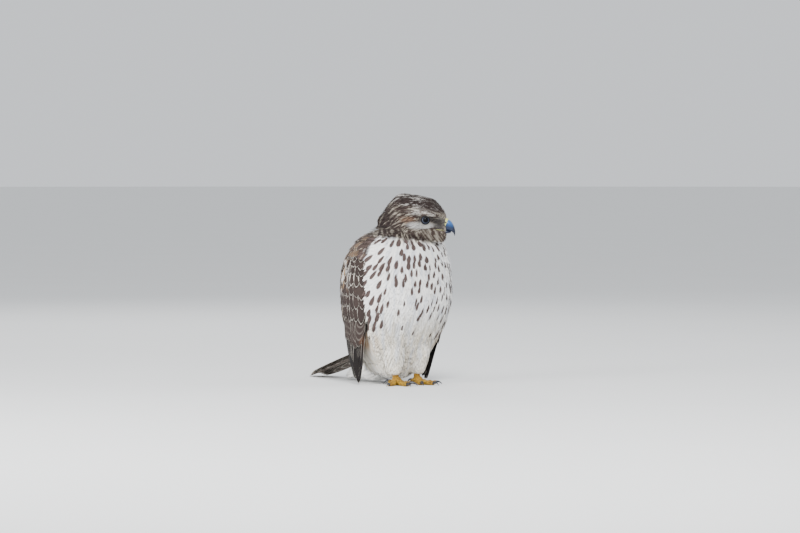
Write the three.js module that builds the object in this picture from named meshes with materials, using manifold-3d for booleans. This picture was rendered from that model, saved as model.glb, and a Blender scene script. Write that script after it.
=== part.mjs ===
// A young buteo hawk, life size, standing upright on a floor with its head turned to its left,
// its wings hanging loosely at its sides and its tail laid on the floor behind it.
// Millimetres, +Z up. The bird faces -Y, so its left side is +X. The feet stand at Y = 0.
import * as THREE from "three";
import { mergeVertices } from "three/addons/utils/BufferGeometryUtils.js";
import Module from "manifold-3d";

const wasm = await Module();
wasm.setup();

const { degToRad, lerp, clamp, smoothstep } = THREE.MathUtils;

// Driving sizes
const GAP = 0.35;
const HEAD_TURN = degToRad(45);
const NECK_AXIS = new THREE.Vector3(0, 5, 0);
const EYE_RADIUS = 9.3;
const FOOT_SPREAD = 22.5;
const TAIL_LENGTH = 218;
const TAIL_ROOT = new THREE.Vector3(0, 88, 70);
const WING_BED = 9;

// Body of neck, breast and belly: height, half width, depth to the front, depth to the back, middle's Y
const BODY = [
  [9, 15, 13, 22, 34],
  [26, 42, 30, 50, 36],
  [52, 65, 45, 66, 38],
  [77, 80, 56, 75, 37],
  [101, 92, 66, 82, 36],
  [126, 99, 74, 88, 33],
  [149, 102, 76, 92, 31],
  [175, 102, 74, 94, 30],
  [212, 98, 68, 92, 27],
  [230, 92, 64, 86, 24],
  [248, 82, 56, 78, 20],
  [261, 64, 40, 72, 16],
  [273, 43, 31, 50, 12],
  [285, 33, 27, 38, 9],
  [298, 20, 18, 24, 8],
];
// Shell that the folded wing lies on: the same columns, from the wing's tip to the shoulder
const WING = [
  [0, 76, 38, 46, 48],
  [26, 82, 46, 56, 47],
  [52, 88, 54, 66, 45],
  [77, 93, 60, 75, 41],
  [101, 96, 66, 82, 37],
  [126, 100, 74, 88, 33],
  [149, 102, 76, 92, 31],
  [175, 102, 74, 94, 30],
  [212, 98, 68, 92, 27],
  [230, 92, 64, 86, 24],
  [248, 82, 56, 78, 20],
];
// Front and rear edge of the folded wing, in degrees round the body from the breast's midline
const WING_EDGES = [
  [0, 84, 100],
  [14, 72, 112],
  [30, 65, 120],
  [60, 61, 132],
  [100, 63, 147],
  [150, 64, 157],
  [200, 64, 157],
  [225, 68, 150],
  [240, 80, 126],
];
// Head along its own heading: distance in front of the neck's axis, half width, up, down, middle's height
const HEAD = [
  [-46, 6, 6, 6, 286],
  [-42, 14, 10, 14, 285],
  [-34, 23, 20, 25, 285],
  [-27, 27, 29, 31, 286],
  [-18, 31, 39, 36, 286.5],
  [-9, 33, 45.5, 39, 287],
  [9, 33.5, 45, 40, 287.5],
  [25, 32, 43, 38, 288],
  [40, 28, 40, 36, 288],
  [50, 24, 38.5, 34, 287],
  [58, 20, 33, 33, 285],
  [65, 16, 27.5, 31, 283],
  [70, 12, 21, 26, 281.5],
  [74, 8, 12, 16, 280],
];
// Rows of the bill's pieces: forward and height of the ridge, forward and height of the lower edge, half width
const CERE = [
  [66, 294.5, 65.5, 271, 9.8],
  [72, 292.6, 71, 270.8, 8.8],
  [78, 288.8, 76, 270.5, 7.7],
];
const UPPER_BILL = [
  [69.5, 291.6, 68, 270.8, 8.9],
  [74, 290.6, 72, 270.6, 7.9],
  [79, 287.6, 78, 269.8, 6.8],
  [83, 282.9, 81, 268.9, 5.7],
  [85.8, 277.2, 83, 267.6, 4.5],
  [87.5, 270.8, 84.6, 265.8, 3],
  [87.6, 265.6, 85.8, 263.3, 1.6],
  [87, 261.3, 86.5, 260.9, 0.5],
];
const LOWER_BILL = [
  [66, 270.2, 68, 264.6, 7.4],
  [75, 269.8, 75.6, 264.9, 5.8],
  [81, 268.4, 80, 266, 1.8],
];
const GAPE = { back: 54.5, backZ: 272, front: 74, frontZ: 270, slot: 0.9 };
const CERE_FRONT = { forward: 75.5, height: 290, slope: -0.35 };
const NOSTRIL = { side: 8.1, forward: 71.6, height: 284.6 };
const NECK_CUT = { height: 262, slope: 0.25 };
const SHOULDER_CUT = { height: 241.6, slope: 0.16 };
const FACE_CUT = { forward: 69.2, height: 292, slope: -0.1 };

// Toes of one foot: heading outwards from straight ahead, length, radius at the root and at the claw, claw length
const TOES = {
  inner: { heading: -22, length: 27, root: 5.2, end: 3.9, claw: 20 },
  middle: { heading: 8, length: 39, root: 5.4, end: 3.7, claw: 18 },
  outer: { heading: 60, length: 31, root: 4.9, end: 3.5, claw: 15 },
  hind: { heading: 176, length: 19, root: 5, end: 4.1, claw: 23 },
};
const CLAW_PITCH = { start: 34, end: -62 };
const PALM = { x: 9, y: 10, z: 8, height: 7.4 };
const THIGH = [
  [18, 10, 12, 12, 5],
  [26, 14, 17, 18, 7],
  [45, 22, 26, 26, 12],
  [66, 27, 34, 32, 18],
  [95, 26, 34, 30, 26],
  [120, 12, 16, 14, 30],
];
const THIGH_CUT = 20;
const THIGH_OUT = 25;

const MATERIALS = {
  white_plumage: [0xdfe0dc, 0.85],
  streaked_head: [0x8a8078, 0.8],
  brown_plumage: [0x54463c, 0.75],
  flight_feathers: [0x2f2824, 0.6],
  tail_feathers: [0x6f6860, 0.65],
  yellow_skin: [0xc9a53a, 0.55],
  pale_cere: [0xd3d08c, 0.5],
  bill: [0x4a6f9f, 0.35],
  claw: [0x1d1f28, 0.3],
  eye: [0x2c2724, 0.1],
};

// Solids and meshes

function solidFrom(geometry) {
  const bare = new THREE.BufferGeometry().setAttribute("position", geometry.getAttribute("position"));
  if (geometry.index) bare.setIndex(geometry.index);
  const merged = mergeVertices(bare, 1e-4);
  const faces = [];
  const index = merged.index.array;
  for (let i = 0; i < index.length; i += 3) {
    const [a, b, c] = [index[i], index[i + 1], index[i + 2]];
    if (a !== b && b !== c && c !== a) faces.push(a, b, c);
  }
  const made = new wasm.Manifold(
    new wasm.Mesh({
      numProp: 3,
      vertProperties: new Float32Array(merged.attributes.position.array),
      triVerts: new Uint32Array(faces),
    }),
  );
  return made;
}

function largest(solid) {
  return solid.decompose().sort((a, b) => b.volume() - a.volume())[0];
}

function joined(solids) {
  return wasm.Manifold.union(solids);
}

function geometryFrom(solid) {
  const { numProp, numVert, vertProperties, triVerts } = solid.getMesh();
  const positions = new Float32Array(numVert * 3);
  for (let i = 0; i < numVert; i++) {
    positions.set(vertProperties.subarray(i * numProp, i * numProp + 3), i * 3);
  }
  return new THREE.BufferGeometry()
    .setAttribute("position", new THREE.BufferAttribute(positions, 3))
    .setIndex(new THREE.BufferAttribute(new Uint32Array(triVerts), 1));
}

const hawk = new THREE.Group();

function addNode(name, solid, finish) {
  const [color, roughness] = MATERIALS[finish];
  const material = new THREE.MeshStandardMaterial({ color, roughness, metalness: 0 });
  const geometry = geometryFrom(largest(solid));
  geometry.computeVertexNormals();
  const mesh = new THREE.Mesh(geometry, material);
  mesh.name = name;
  hawk.add(mesh);
}

// Smooth curve of one column of a table, read at any value of the first column
function curveThrough(rows, column) {
  const at = rows.map((row) => row[0]);
  const value = rows.map((row) => row[column]);
  const last = rows.length - 1;
  const slope = value.map((_, i) => {
    const [a, b] = [Math.max(i - 1, 0), Math.min(i + 1, last)];
    return (value[b] - value[a]) / (at[b] - at[a]);
  });
  return (x) => {
    const where = clamp(x, at[0], at[last]);
    const i = clamp(at.findIndex((edge) => edge > where) - 1, 0, last - 1) || 0;
    const k = where >= at[last] ? last - 1 : i;
    const width = at[k + 1] - at[k];
    const t = (where - at[k]) / width;
    const [t2, t3] = [t * t, t * t * t];
    return (
      (2 * t3 - 3 * t2 + 1) * value[k] +
      (t3 - 2 * t2 + t) * width * slope[k] +
      (3 * t2 - 2 * t3) * value[k + 1] +
      (t3 - t2) * width * slope[k + 1]
    );
  };
}

function columnsOf(rows) {
  return rows[0].slice(1).map((_, i) => curveThrough(rows, i + 1));
}

// Closed surface of rings: place(row, turn) gives a point, with row and turn from 0 to 1
function loft(rows, ring, place) {
  const points = [];
  const faces = [];
  for (let r = 0; r <= rows; r++) {
    for (let k = 0; k < ring; k++) points.push(place(r / rows, k / ring));
  }
  const middle = (r) => {
    const sum = new THREE.Vector3();
    for (let k = 0; k < ring; k++) sum.add(points[r * ring + k]);
    return sum.divideScalar(ring);
  };
  const first = points.push(middle(0)) - 1;
  const end = points.push(middle(rows)) - 1;
  for (let k = 0; k < ring; k++) {
    const next = (k + 1) % ring;
    faces.push(first, next, k);
    faces.push(end, rows * ring + k, rows * ring + next);
    for (let r = 0; r < rows; r++) {
      const [a, b] = [r * ring + k, r * ring + next];
      const [c, d] = [a + ring, b + ring];
      faces.push(a, b, d, a, d, c);
    }
  }
  return facing(solidOfFaces(points, faces));
}

function solidOfFaces(points, faces) {
  const positions = new Float32Array(points.flatMap((p) => [p.x, p.y, p.z]));
  const geometry = new THREE.BufferGeometry()
    .setAttribute("position", new THREE.BufferAttribute(positions, 3))
    .setIndex(faces);
  return [geometry, faces];
}

// The solid with its faces out, whichever way its points ran
function facing([geometry, faces]) {
  const made = solidFrom(geometry);
  if (made.volume() > 0) return made;
  const turned = [];
  for (let i = 0; i < faces.length; i += 3) turned.push(faces[i], faces[i + 2], faces[i + 1]);
  geometry.setIndex(turned);
  return solidFrom(geometry);
}

// Thin lens with a sharp rim: place(u, v, side) with side 1 on the upper face, -1 on the lower and 0 on the rim.
// Both faces are split into the same triangles.
function pillow(across, along, place) {
  const points = [];
  const faces = [];
  const id = {};
  const point = (i, j, side) => {
    const rim = i === 0 || j === 0 || i === across || j === along;
    const key = [i, j, rim ? 0 : side].join();
    if (!(key in id)) id[key] = points.push(place(i / across, j / along, rim ? 0 : side)) - 1;
    return id[key];
  };
  for (const side of [1, -1]) {
    for (let i = 0; i < across; i++) {
      for (let j = 0; j < along; j++) {
        const corner = [
          [i, j],
          [i + 1, j],
          [i + 1, j + 1],
          [i, j + 1],
        ].map(([p, q]) => point(p, q, side));
        const split = i < across / 2 ? [0, 1, 2, 0, 2, 3] : [0, 1, 3, 1, 2, 3];
        const order = side > 0 ? split : split.slice().reverse();
        faces.push(...order.map((n) => corner[n]));
      }
    }
  }
  return facing(solidOfFaces(points, faces));
}

function placed(geometry, ...matrices) {
  const copy = geometry.clone();
  matrices.forEach((matrix) => copy.applyMatrix4(matrix));
  return solidFrom(copy);
}

function turnTo(direction) {
  const turn = new THREE.Quaternion().setFromUnitVectors(
    new THREE.Vector3(0, 0, 1),
    direction.clone().normalize(),
  );
  return new THREE.Matrix4().makeRotationFromQuaternion(turn);
}

function moveTo(point) {
  return new THREE.Matrix4().makeTranslation(point.x, point.y, point.z);
}

// The part of a solid on the side that normal points to, beyond height along it
function above(solid, normal, height) {
  const unit = normal.clone().normalize();
  return solid.trimByPlane([unit.x, unit.y, unit.z], height / normal.length());
}

function below(solid, normal, height) {
  return above(solid, normal.clone().negate(), -height);
}

// Point of an upright egg-like shell: turn is 0 at the breast and grows towards the bird's right
function shellPoint(columns, height, turn, grow = 0) {
  const [halfWidth, front, back, middle] = columns.map((column) => column(height));
  const depth = Math.cos(turn) > 0 ? front : back;
  return new THREE.Vector3(
    -(halfWidth + grow) * Math.sin(turn),
    middle - (depth + grow) * Math.cos(turn),
    height,
  );
}

// Body

const bodyColumns = columnsOf(BODY);
const wingColumns = columnsOf(WING);
const wingFront = curveThrough(WING_EDGES, 1);
const wingRear = curveThrough(WING_EDGES, 2);

// How deep the wing's bed is sunk into the body, all round it and fading out at its ends
function bedDepth(height, turn) {
  const degrees = Math.abs(THREE.MathUtils.radToDeg(turn));
  const front = smoothstep(degrees, wingFront(height) - 7, wingFront(height) + 3);
  const rear = 1 - smoothstep(degrees, wingRear(height) - 2, wingRear(height) + 9);
  const ends = smoothstep(height, 62, 100) * (1 - smoothstep(height, 236, 256));
  return WING_BED * front * rear * ends;
}

function bodySolid(grow, rows = 21, ring = 38) {
  const [low, high] = [BODY[0][0] - grow, BODY[BODY.length - 1][0] + grow];
  return loft(rows, ring, (row, turn) => {
    const height = lerp(low, high, row);
    const angle = (turn - 0.5) * 2 * Math.PI;
    return shellPoint(bodyColumns, height, angle, grow - bedDepth(height, angle));
  });
}

// Head, built along -Y and turned with the neck

const headColumns = columnsOf(HEAD);
const headFrame = new THREE.Matrix4()
  .makeTranslation(NECK_AXIS.x, NECK_AXIS.y, 0)
  .multiply(new THREE.Matrix4().makeRotationZ(HEAD_TURN));
const heading = new THREE.Vector3(0, -1, 0).transformDirection(headFrame);

function onHead(side, forward, height) {
  return new THREE.Vector3(side, -forward, height).applyMatrix4(headFrame);
}

function headSolid() {
  const [back, front] = [HEAD[0][0], HEAD[HEAD.length - 1][0]];
  return loft(16, 24, (row, turn) => {
    const forward = lerp(back, front, row);
    const [halfWidth, up, down, middle] = headColumns.map((column) => column(forward));
    const angle = turn * 2 * Math.PI;
    const reach = Math.sin(angle) > 0 ? up : down;
    return onHead(halfWidth * Math.cos(angle), forward, middle + reach * Math.sin(angle));
  });
}

// A piece of the bill: rings that stand between its ridge and its lower edge
function billSolid(table, rows, ring) {
  const indexed = table.map((row, i) => [i, ...row]);
  const columns = columnsOf(indexed);
  return loft(rows, ring, (row, turn) => {
    const [ridge, ridgeZ, edge, edgeZ, half] = columns.map((c) => c(row * (table.length - 1)));
    const angle = turn * 2 * Math.PI;
    const up = (1 + Math.sin(angle)) / 2;
    return onHead(half * Math.cos(angle), lerp(edge, ridge, up), lerp(edgeZ, ridgeZ, up));
  });
}

// Planes that part the head from the neck, the neck from the torso and the face from the bill
const neckNormal = heading.clone().multiplyScalar(NECK_CUT.slope).add(new THREE.Vector3(0, 0, 1));
const neckHeight = NECK_CUT.height + NECK_CUT.slope * heading.dot(NECK_AXIS);
const shoulderNormal = new THREE.Vector3(0, -SHOULDER_CUT.slope, 1);
const faceNormal = heading.clone().add(new THREE.Vector3(0, 0, FACE_CUT.slope));
const faceHeight = FACE_CUT.forward + heading.dot(NECK_AXIS) + FACE_CUT.slope * FACE_CUT.height;
const cereNormal = heading.clone().add(new THREE.Vector3(0, 0, CERE_FRONT.slope));
const cereHeight =
  CERE_FRONT.forward + heading.dot(NECK_AXIS) + CERE_FRONT.slope * CERE_FRONT.height;

function eyeFrame(side) {
  const centre = onHead(side * 20.6, 37.2, 289);
  const look = new THREE.Vector3(side * Math.cos(degToRad(19)), -Math.sin(degToRad(19)), 0.06);
  return { centre, look: look.transformDirection(headFrame) };
}

function withEyeSocket(head, side) {
  const { centre, look } = eyeFrame(side);
  const reach = (distance) => centre.clone().addScaledVector(look, distance);
  const brow = placed(
    new THREE.SphereGeometry(1, 10, 6).scale(5.4, 16, 4.6),
    new THREE.Matrix4().makeRotationX(degToRad(17)),
    new THREE.Matrix4().makeRotationZ(side * degToRad(14)),
    moveTo(new THREE.Vector3(side * 24.4, -39.5, 300.2)),
    headFrame,
  );
  const well = placed(
    new THREE.CylinderGeometry(9.4, 8.2, 12, 16).rotateX(Math.PI / 2),
    turnTo(look),
    moveTo(reach(11)),
  );
  const lid = placed(new THREE.TorusGeometry(8.6, 1.35, 5, 14), turnTo(look), moveTo(reach(5.2)));
  const ball = placed(new THREE.SphereGeometry(EYE_RADIUS + GAP, 16, 10), moveTo(centre));
  return head.add(brow).subtract(well).add(lid).subtract(ball);
}

// Slot of the closed mouth, and the fleshy lip above it on each side
function withMouth(head) {
  const length = GAPE.front - GAPE.back;
  const slope = Math.atan2(GAPE.backZ - GAPE.frontZ, length);
  const slot = placed(
    new THREE.BoxGeometry(60, length, GAPE.slot),
    new THREE.Matrix4().makeRotationX(slope),
    moveTo(new THREE.Vector3(0, -(GAPE.back + GAPE.front) / 2, (GAPE.backZ + GAPE.frontZ) / 2)),
    headFrame,
  );
  const lips = [-1, 1].map((side) =>
    loft(6, 6, (row, turn) => {
      const forward = lerp(GAPE.back - 3, FACE_CUT.forward, row);
      const reach = headColumns[0](forward) * 0.93;
      const middle = GAPE.backZ + 1.6 - row * 1.2;
      const angle = turn * 2 * Math.PI;
      const radius = 0.5 + 1.1 * Math.sin(Math.PI * clamp(row + 0.12, 0, 0.8));
      return onHead(
        side * (reach + radius * Math.cos(angle)),
        forward,
        middle + radius * Math.sin(angle),
      );
    }),
  );
  return joined([head, ...lips]).subtract(slot);
}

function makeHeadAndBody() {
  const body = bodySolid(0);
  let head = above(joined([body, headSolid()]), neckNormal, neckHeight + GAP / 2);
  head = withMouth(head);
  head = withEyeSocket(withEyeSocket(head, 1), -1);
  head = below(head, faceNormal, faceHeight - GAP / 2);
  addNode("head", head, "streaked_head");
  for (const [name, side] of Object.entries({ eye_left: 1, eye_right: -1 })) {
    const ball = new THREE.SphereGeometry(EYE_RADIUS, 16, 10);
    const { centre } = eyeFrame(side);
    addNode(name, placed(ball, moveTo(centre)), "eye");
  }
  const neck = below(
    above(body, shoulderNormal, SHOULDER_CUT.height + GAP / 2),
    neckNormal,
    neckHeight - GAP / 2,
  );
  addNode("neck", neck, "streaked_head");
  addNode("torso", below(body, shoulderNormal, SHOULDER_CUT.height - GAP / 2), "white_plumage");
}

function makeBill() {
  const beyondFace = (solid) => above(solid, faceNormal, faceHeight + GAP / 2);
  let cere = below(beyondFace(billSolid(CERE, 5, 14)), cereNormal, cereHeight - GAP / 2);
  for (const side of [-1, 1]) {
    const nostril = placed(
      new THREE.SphereGeometry(1, 8, 6).scale(1.6, 1.7, 1.35),
      moveTo(new THREE.Vector3(side * NOSTRIL.side, -NOSTRIL.forward, NOSTRIL.height)),
      headFrame,
    );
    cere = cere.subtract(nostril);
  }
  addNode("cere", cere, "pale_cere");
  const upper = above(beyondFace(billSolid(UPPER_BILL, 10, 12)), cereNormal, cereHeight + GAP / 2);
  addNode("bill_upper", upper, "bill");
  const lip = new THREE.Vector3(0, 0, 1).addScaledVector(heading, 0.16);
  const lipHeight = 269.9 + 0.16 * (GAPE.front + heading.dot(NECK_AXIS));
  const lower = below(beyondFace(billSolid(LOWER_BILL, 5, 10)), lip, lipHeight - GAP);
  addNode("bill_lower", lower, "bill");
}

// Wings

function wingPoint(side, height, degrees, lift) {
  const point = shellPoint(wingColumns, height, degToRad(degrees), lift);
  if (side > 0) point.x = -point.x;
  return point;
}

function degreesPerMillimetre(height, degrees) {
  const [halfWidth, front, back] = wingColumns.map((column) => column(height));
  const angle = degToRad(degrees);
  const depth = Math.cos(angle) > 0 ? front : back;
  return 180 / Math.PI / Math.hypot(halfWidth * Math.cos(angle), depth * Math.sin(angle));
}

// Outer face of the wing's core, where the feathers root, below the shell
const coreFace = curveThrough(
  [
    [50, -4.4],
    [90, -3.6],
    [140, -2.4],
    [175, -1.4],
    [205, -0.8],
    [240, -2],
  ],
  1,
);
const CORE = { low: 58, high: 239, inner: -WING_BED + GAP + 0.9, free: -6.4 };

function wingCore(side) {
  return pillow(6, 9, (u, v, face) => {
    const height = lerp(CORE.high, CORE.low, v);
    const degrees = lerp(wingFront(height) + 1.5, wingRear(height) - 1.5, u);
    const inner = lerp(CORE.free, CORE.inner, smoothstep(height, 66, 104));
    const outer = coreFace(height);
    const share = face > 0 ? 1 : face < 0 ? 0 : 0.45;
    return wingPoint(side, height, degrees, lerp(inner, outer, share));
  });
}

// One feather on the wing's shell. Its root is sunk in the core, and it rises towards its tip over
// the next tier, rolled a little so that one edge lies over its neighbour.
const VANE_OUTLINE = [
  [0, 0.4],
  [0.25, 0.82],
  [0.5, 1],
  [0.75, 0.94],
  [1, 0.2],
];
const vaneWidth = curveThrough(VANE_OUTLINE, 1);
const VANE_THICKNESS = 0.5;
const VANE_SUNK = 1.7;

function wingVane(side, { root, tip, width, lift, roll }) {
  return pillow(2, 4, (u, v, face) => {
    const height = lerp(root[1], tip[1], v);
    const across = (u - 0.5) * width * vaneWidth(v);
    const middle = lerp(root[0], tip[0], v);
    const degrees = middle + across * degreesPerMillimetre(height, middle);
    const rise = lerp(-VANE_SUNK, lift, v) + roll * (u - 0.5) * 2;
    return wingPoint(side, height, degrees, coreFace(height) + rise + face * VANE_THICKNESS);
  });
}

// Tiers of wing feathers: count, then root and tip as degrees and height for the first and the last feather
const WING_TIERS = [
  { count: 6, root: [72, 126, 112, 138], tip: [87, 6, 111, 20], width: 22, lift: 0.2, roll: 0.5 },
  { count: 8, root: [73, 150, 146, 166], tip: [87, 50, 138, 92], width: 23, lift: 1.9, roll: 0.8 },
  { count: 7, root: [74, 180, 148, 188], tip: [74, 112, 149, 128], width: 26, lift: 2.5, roll: 0.8 },
  { count: 5, root: [74, 205, 124, 210], tip: [74, 146, 124, 158], width: 27, lift: 2.6, roll: 0.8 },
  { count: 4, root: [78, 230, 112, 233], tip: [76, 182, 116, 192], width: 30, lift: 2.6, roll: 0.8 },
];
const SCAPULARS = [
  { count: 3, root: [138, 217, 152, 208], tip: [134, 150, 152, 130], width: 26, lift: 2.8, roll: 0.5 },
  { count: 3, root: [125, 237, 145, 231], tip: [129, 188, 151, 168], width: 30, lift: 2.8, roll: 0.5 },
];

function tierOf({ count, root, tip, width, lift, roll }) {
  return Array.from({ length: count }, (_, i) => {
    const t = i / (count - 1);
    const along = ([a, b, c, d]) => [lerp(a, c, t), lerp(b, d, t)];
    return { root: along(root), tip: along(tip), width, lift, roll };
  });
}

function makeWing(name, side, body) {
  const vanes = [...WING_TIERS, ...SCAPULARS].flatMap(tierOf).map((vane) => wingVane(side, vane));
  const wing = joined([wingCore(side), ...vanes]).subtract(body);
  addNode(name, above(wing, new THREE.Vector3(0, 0, 1), 1.2), "brown_plumage");
}

// Tail

const TAIL_TIP_HEIGHT = 7;
const TAIL_SLOPE = Math.asin((TAIL_ROOT.z - TAIL_TIP_HEIGHT) / TAIL_LENGTH);
const TAIL_STEP = { side: 3.1, level: 1.7, shorter: 2.2, width: 21 };

// Point of the laid tail: along it from the root, across it and above its upper face
function tailPoint(along, across, lift) {
  const arch = (across * across) / 260;
  return new THREE.Vector3(
    across,
    TAIL_ROOT.y + along * Math.cos(TAIL_SLOPE) + lift * Math.sin(TAIL_SLOPE),
    TAIL_ROOT.z - along * Math.sin(TAIL_SLOPE) + lift * Math.cos(TAIL_SLOPE) - arch,
  );
}

function tailVane({ start, end, rootSide, tipSide, width, level, rise = 0 }) {
  return pillow(2, 5, (u, v, face) => {
    const across = lerp(rootSide, tipSide, v) + (u - 0.5) * width * Math.max(vaneWidth(v), 0.3);
    const lift = level + rise * smoothstep(v, 0, 0.4) + face * VANE_THICKNESS;
    return tailPoint(lerp(start, end, v), across, lift);
  });
}

function tailStump(grow) {
  return loft(6, 16, (row, turn) => {
    const along = lerp(-16 - grow, 52 + grow, row);
    const angle = turn * 2 * Math.PI;
    const size = Math.sqrt(Math.max(0.02, 1 - Math.pow(2 * row - 1, 4)));
    const across = (17 * size + grow) * Math.cos(angle);
    return tailPoint(along, across, -4.6 + (7.4 * size + grow) * Math.sin(angle));
  });
}

function makeTail(body) {
  const feathers = [];
  for (let pair = 0; pair < 6; pair++) {
    for (const side of [-1, 1]) {
      feathers.push(
        tailVane({
          start: 8,
          end: TAIL_LENGTH - TAIL_STEP.shorter * pair,
          rootSide: side * (1 + 1.9 * pair),
          tipSide: side * (1.8 + TAIL_STEP.side * pair),
          width: TAIL_STEP.width,
          level: -TAIL_STEP.level * (pair + (side > 0 ? 0.5 : 0)),
        }),
      );
    }
  }
  const coverts = [-13, 0, 13].map((across, i) =>
    tailVane({
      start: 12,
      end: 78 + 10 * (i % 2),
      rootSide: across * 0.6,
      tipSide: across,
      width: 19,
      level: 1.2,
      rise: 1.6 + 0.9 * (i % 2),
    }),
  );
  const tail = joined([tailStump(0), ...feathers, ...coverts]).subtract(body);
  addNode("tail", above(tail, new THREE.Vector3(0, 0, 1), 0), "tail_feathers");
}

// Room that the whole tail takes, for the coverts below it
function tailEnvelope(grow) {
  return pillow(4, 8, (u, v, face) => {
    const across = (u - 0.5) * 2 * (31 + grow);
    const lift = face > 0 ? 12 : -TAIL_STEP.level * 5.5 - 1 - grow;
    return tailPoint(lerp(-30, TAIL_LENGTH + 4, v), across, face === 0 ? -4 - grow : lift);
  });
}

const UNDERTAIL = [
  [52, 30, 20, 24, 34],
  [80, 38, 24, 30, 33],
  [105, 33, 22, 24, 26],
  [135, 24, 16, 15, 16.5],
  [165, 13, 10, 9, 9.5],
  [182, 4, 4, 4, 5.2],
];

function makeUndertail(cutters) {
  const columns = columnsOf(UNDERTAIL);
  const [start, end] = [UNDERTAIL[0][0], UNDERTAIL[UNDERTAIL.length - 1][0]];
  const fluff = loft(9, 16, (row, turn) => {
    const y = lerp(start, end, row);
    const [half, up, down, middle] = columns.map((column) => column(y));
    const angle = turn * 2 * Math.PI;
    const reach = Math.sin(angle) > 0 ? up : down;
    return new THREE.Vector3(half * Math.cos(angle), y, middle + reach * Math.sin(angle));
  });
  const clear = cutters.reduce((solid, cutter) => solid.subtract(cutter), fluff);
  addNode("undertail_coverts", above(clear, new THREE.Vector3(0, 0, 1), 0.6), "white_plumage");
}

// Legs and feet

const thighColumns = columnsOf(THIGH);

function thighSolid(side, grow) {
  const [low, high] = [THIGH[0][0], THIGH[THIGH.length - 1][0]];
  return loft(10, 20, (row, turn) => {
    const height = lerp(low - grow, high + grow, row);
    const point = shellPoint(thighColumns, height, turn * 2 * Math.PI, grow);
    point.x += side * THIGH_OUT;
    return point;
  });
}

function tarsusSolid(side) {
  return loft(4, 12, (row, turn) => {
    const angle = turn * 2 * Math.PI;
    const radius = lerp(5.6, 5, row);
    return new THREE.Vector3(
      side * (FOOT_SPREAD + row) + radius * Math.cos(angle),
      2 + 5 * row + radius * 1.1 * Math.sin(angle),
      lerp(10, 26, row),
    );
  });
}

// Heading of a toe on the floor, for the foot on that side
function toeDirection(side, degrees) {
  const angle = degToRad(degrees);
  return new THREE.Vector3(side * Math.sin(angle), -Math.cos(angle), 0);
}

function clawRise({ claw }) {
  const [start, end] = [degToRad(CLAW_PITCH.start), degToRad(CLAW_PITCH.end)];
  const bend = claw / (start - end);
  return { bend, start, end, drop: bend * (Math.cos(start) - Math.cos(end)) };
}

function toeSolid(side, toe) {
  const ahead = toeDirection(side, toe.heading);
  const across = new THREE.Vector3(-ahead.y, ahead.x, 0);
  const { drop } = clawRise(toe);
  return loft(6, 8, (row, turn) => {
    const pads = 1 + 0.1 * Math.cos(row * 6 * Math.PI);
    const radius = lerp(toe.root, toe.end, row) * pads;
    const rise = lerp(lerp(6.4, radius * 0.86, smoothstep(row, 0, 0.4)), drop, smoothstep(row, 0.7, 1));
    const angle = turn * 2 * Math.PI;
    return new THREE.Vector3(side * FOOT_SPREAD, 0, 0)
      .addScaledVector(ahead, 3 + (toe.length - 3) * row)
      .addScaledVector(across, radius * Math.cos(angle))
      .add(new THREE.Vector3(0, 0, rise + radius * Math.sin(angle)));
  });
}

function clawSolid(side, toe) {
  const ahead = toeDirection(side, toe.heading);
  const across = new THREE.Vector3(-ahead.y, ahead.x, 0);
  const { bend, start, end, drop } = clawRise(toe);
  return loft(6, 6, (row, turn) => {
    const pitch = lerp(start, end, row);
    const along = bend * (Math.sin(start) - Math.sin(pitch));
    const rise = drop - bend * (Math.cos(start) - Math.cos(pitch)) - 0.1;
    const radius = lerp(toe.end * 0.86, 0.45, Math.pow(row, 0.8));
    const angle = turn * 2 * Math.PI;
    return new THREE.Vector3(side * FOOT_SPREAD, 0, 0)
      .addScaledVector(ahead, toe.length + GAP + along + radius * Math.sin(angle) * -Math.sin(pitch))
      .addScaledVector(across, radius * 0.8 * Math.cos(angle))
      .add(new THREE.Vector3(0, 0, rise + radius * Math.cos(pitch) * Math.sin(angle)));
  });
}

function makeLegs(body) {
  const up = new THREE.Vector3(0, 0, 1);
  for (const [word, side] of Object.entries({ left: 1, right: -1 })) {
    const thigh = above(thighSolid(side, 0).subtract(body), up, THIGH_CUT);
    const halves = new THREE.Vector3(side, 0, 0);
    addNode(`thigh_${word}`, above(thigh, halves, GAP / 2), "white_plumage");
    const shin = tarsusSolid(side);
    addNode(`tarsus_${word}`, above(below(shin, up, THIGH_CUT - GAP), up, 14 + GAP), "yellow_skin");
    const palm = placed(
      new THREE.SphereGeometry(1, 10, 7).scale(PALM.x, PALM.y, PALM.z),
      moveTo(new THREE.Vector3(side * FOOT_SPREAD, 1, PALM.height)),
    );
    const toes = Object.values(TOES).map((toe) => toeSolid(side, toe));
    const foot = below(above(joined([palm, ...toes]), up, 0), up, 14);
    addNode(`foot_${word}`, foot, "yellow_skin");
    for (const [digit, toe] of Object.entries(TOES)) {
      const ahead = toeDirection(side, toe.heading);
      const start = toe.length + GAP + ahead.x * side * FOOT_SPREAD;
      const claw = above(above(clawSolid(side, toe), ahead, start), up, 0);
      addNode(`claw_${digit}_${word}`, claw, "claw");
    }
  }
}

makeHeadAndBody();
makeBill();
const bodyRoom = bodySolid(GAP);
makeWing("wing_left", 1, bodyRoom);
makeWing("wing_right", -1, bodyRoom);
makeTail(bodyRoom);
makeUndertail([bodyRoom, tailEnvelope(GAP), thighSolid(1, GAP), thighSolid(-1, GAP)]);
makeLegs(bodyRoom);

// The origin is the middle of the hawk's box, on the floor
const middle = new THREE.Box3().setFromObject(hawk).getCenter(new THREE.Vector3());
hawk.position.set(-middle.x, -middle.y, 0);

export default hawk;
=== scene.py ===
# Looks of a young hawk that stands upright with its head turned to its left.
# Shapes are worked out in millimetres in the bird's own frame, facing -Y with its left at +X,
# and placed in metres. Heights are above the floor.
import math

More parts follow.
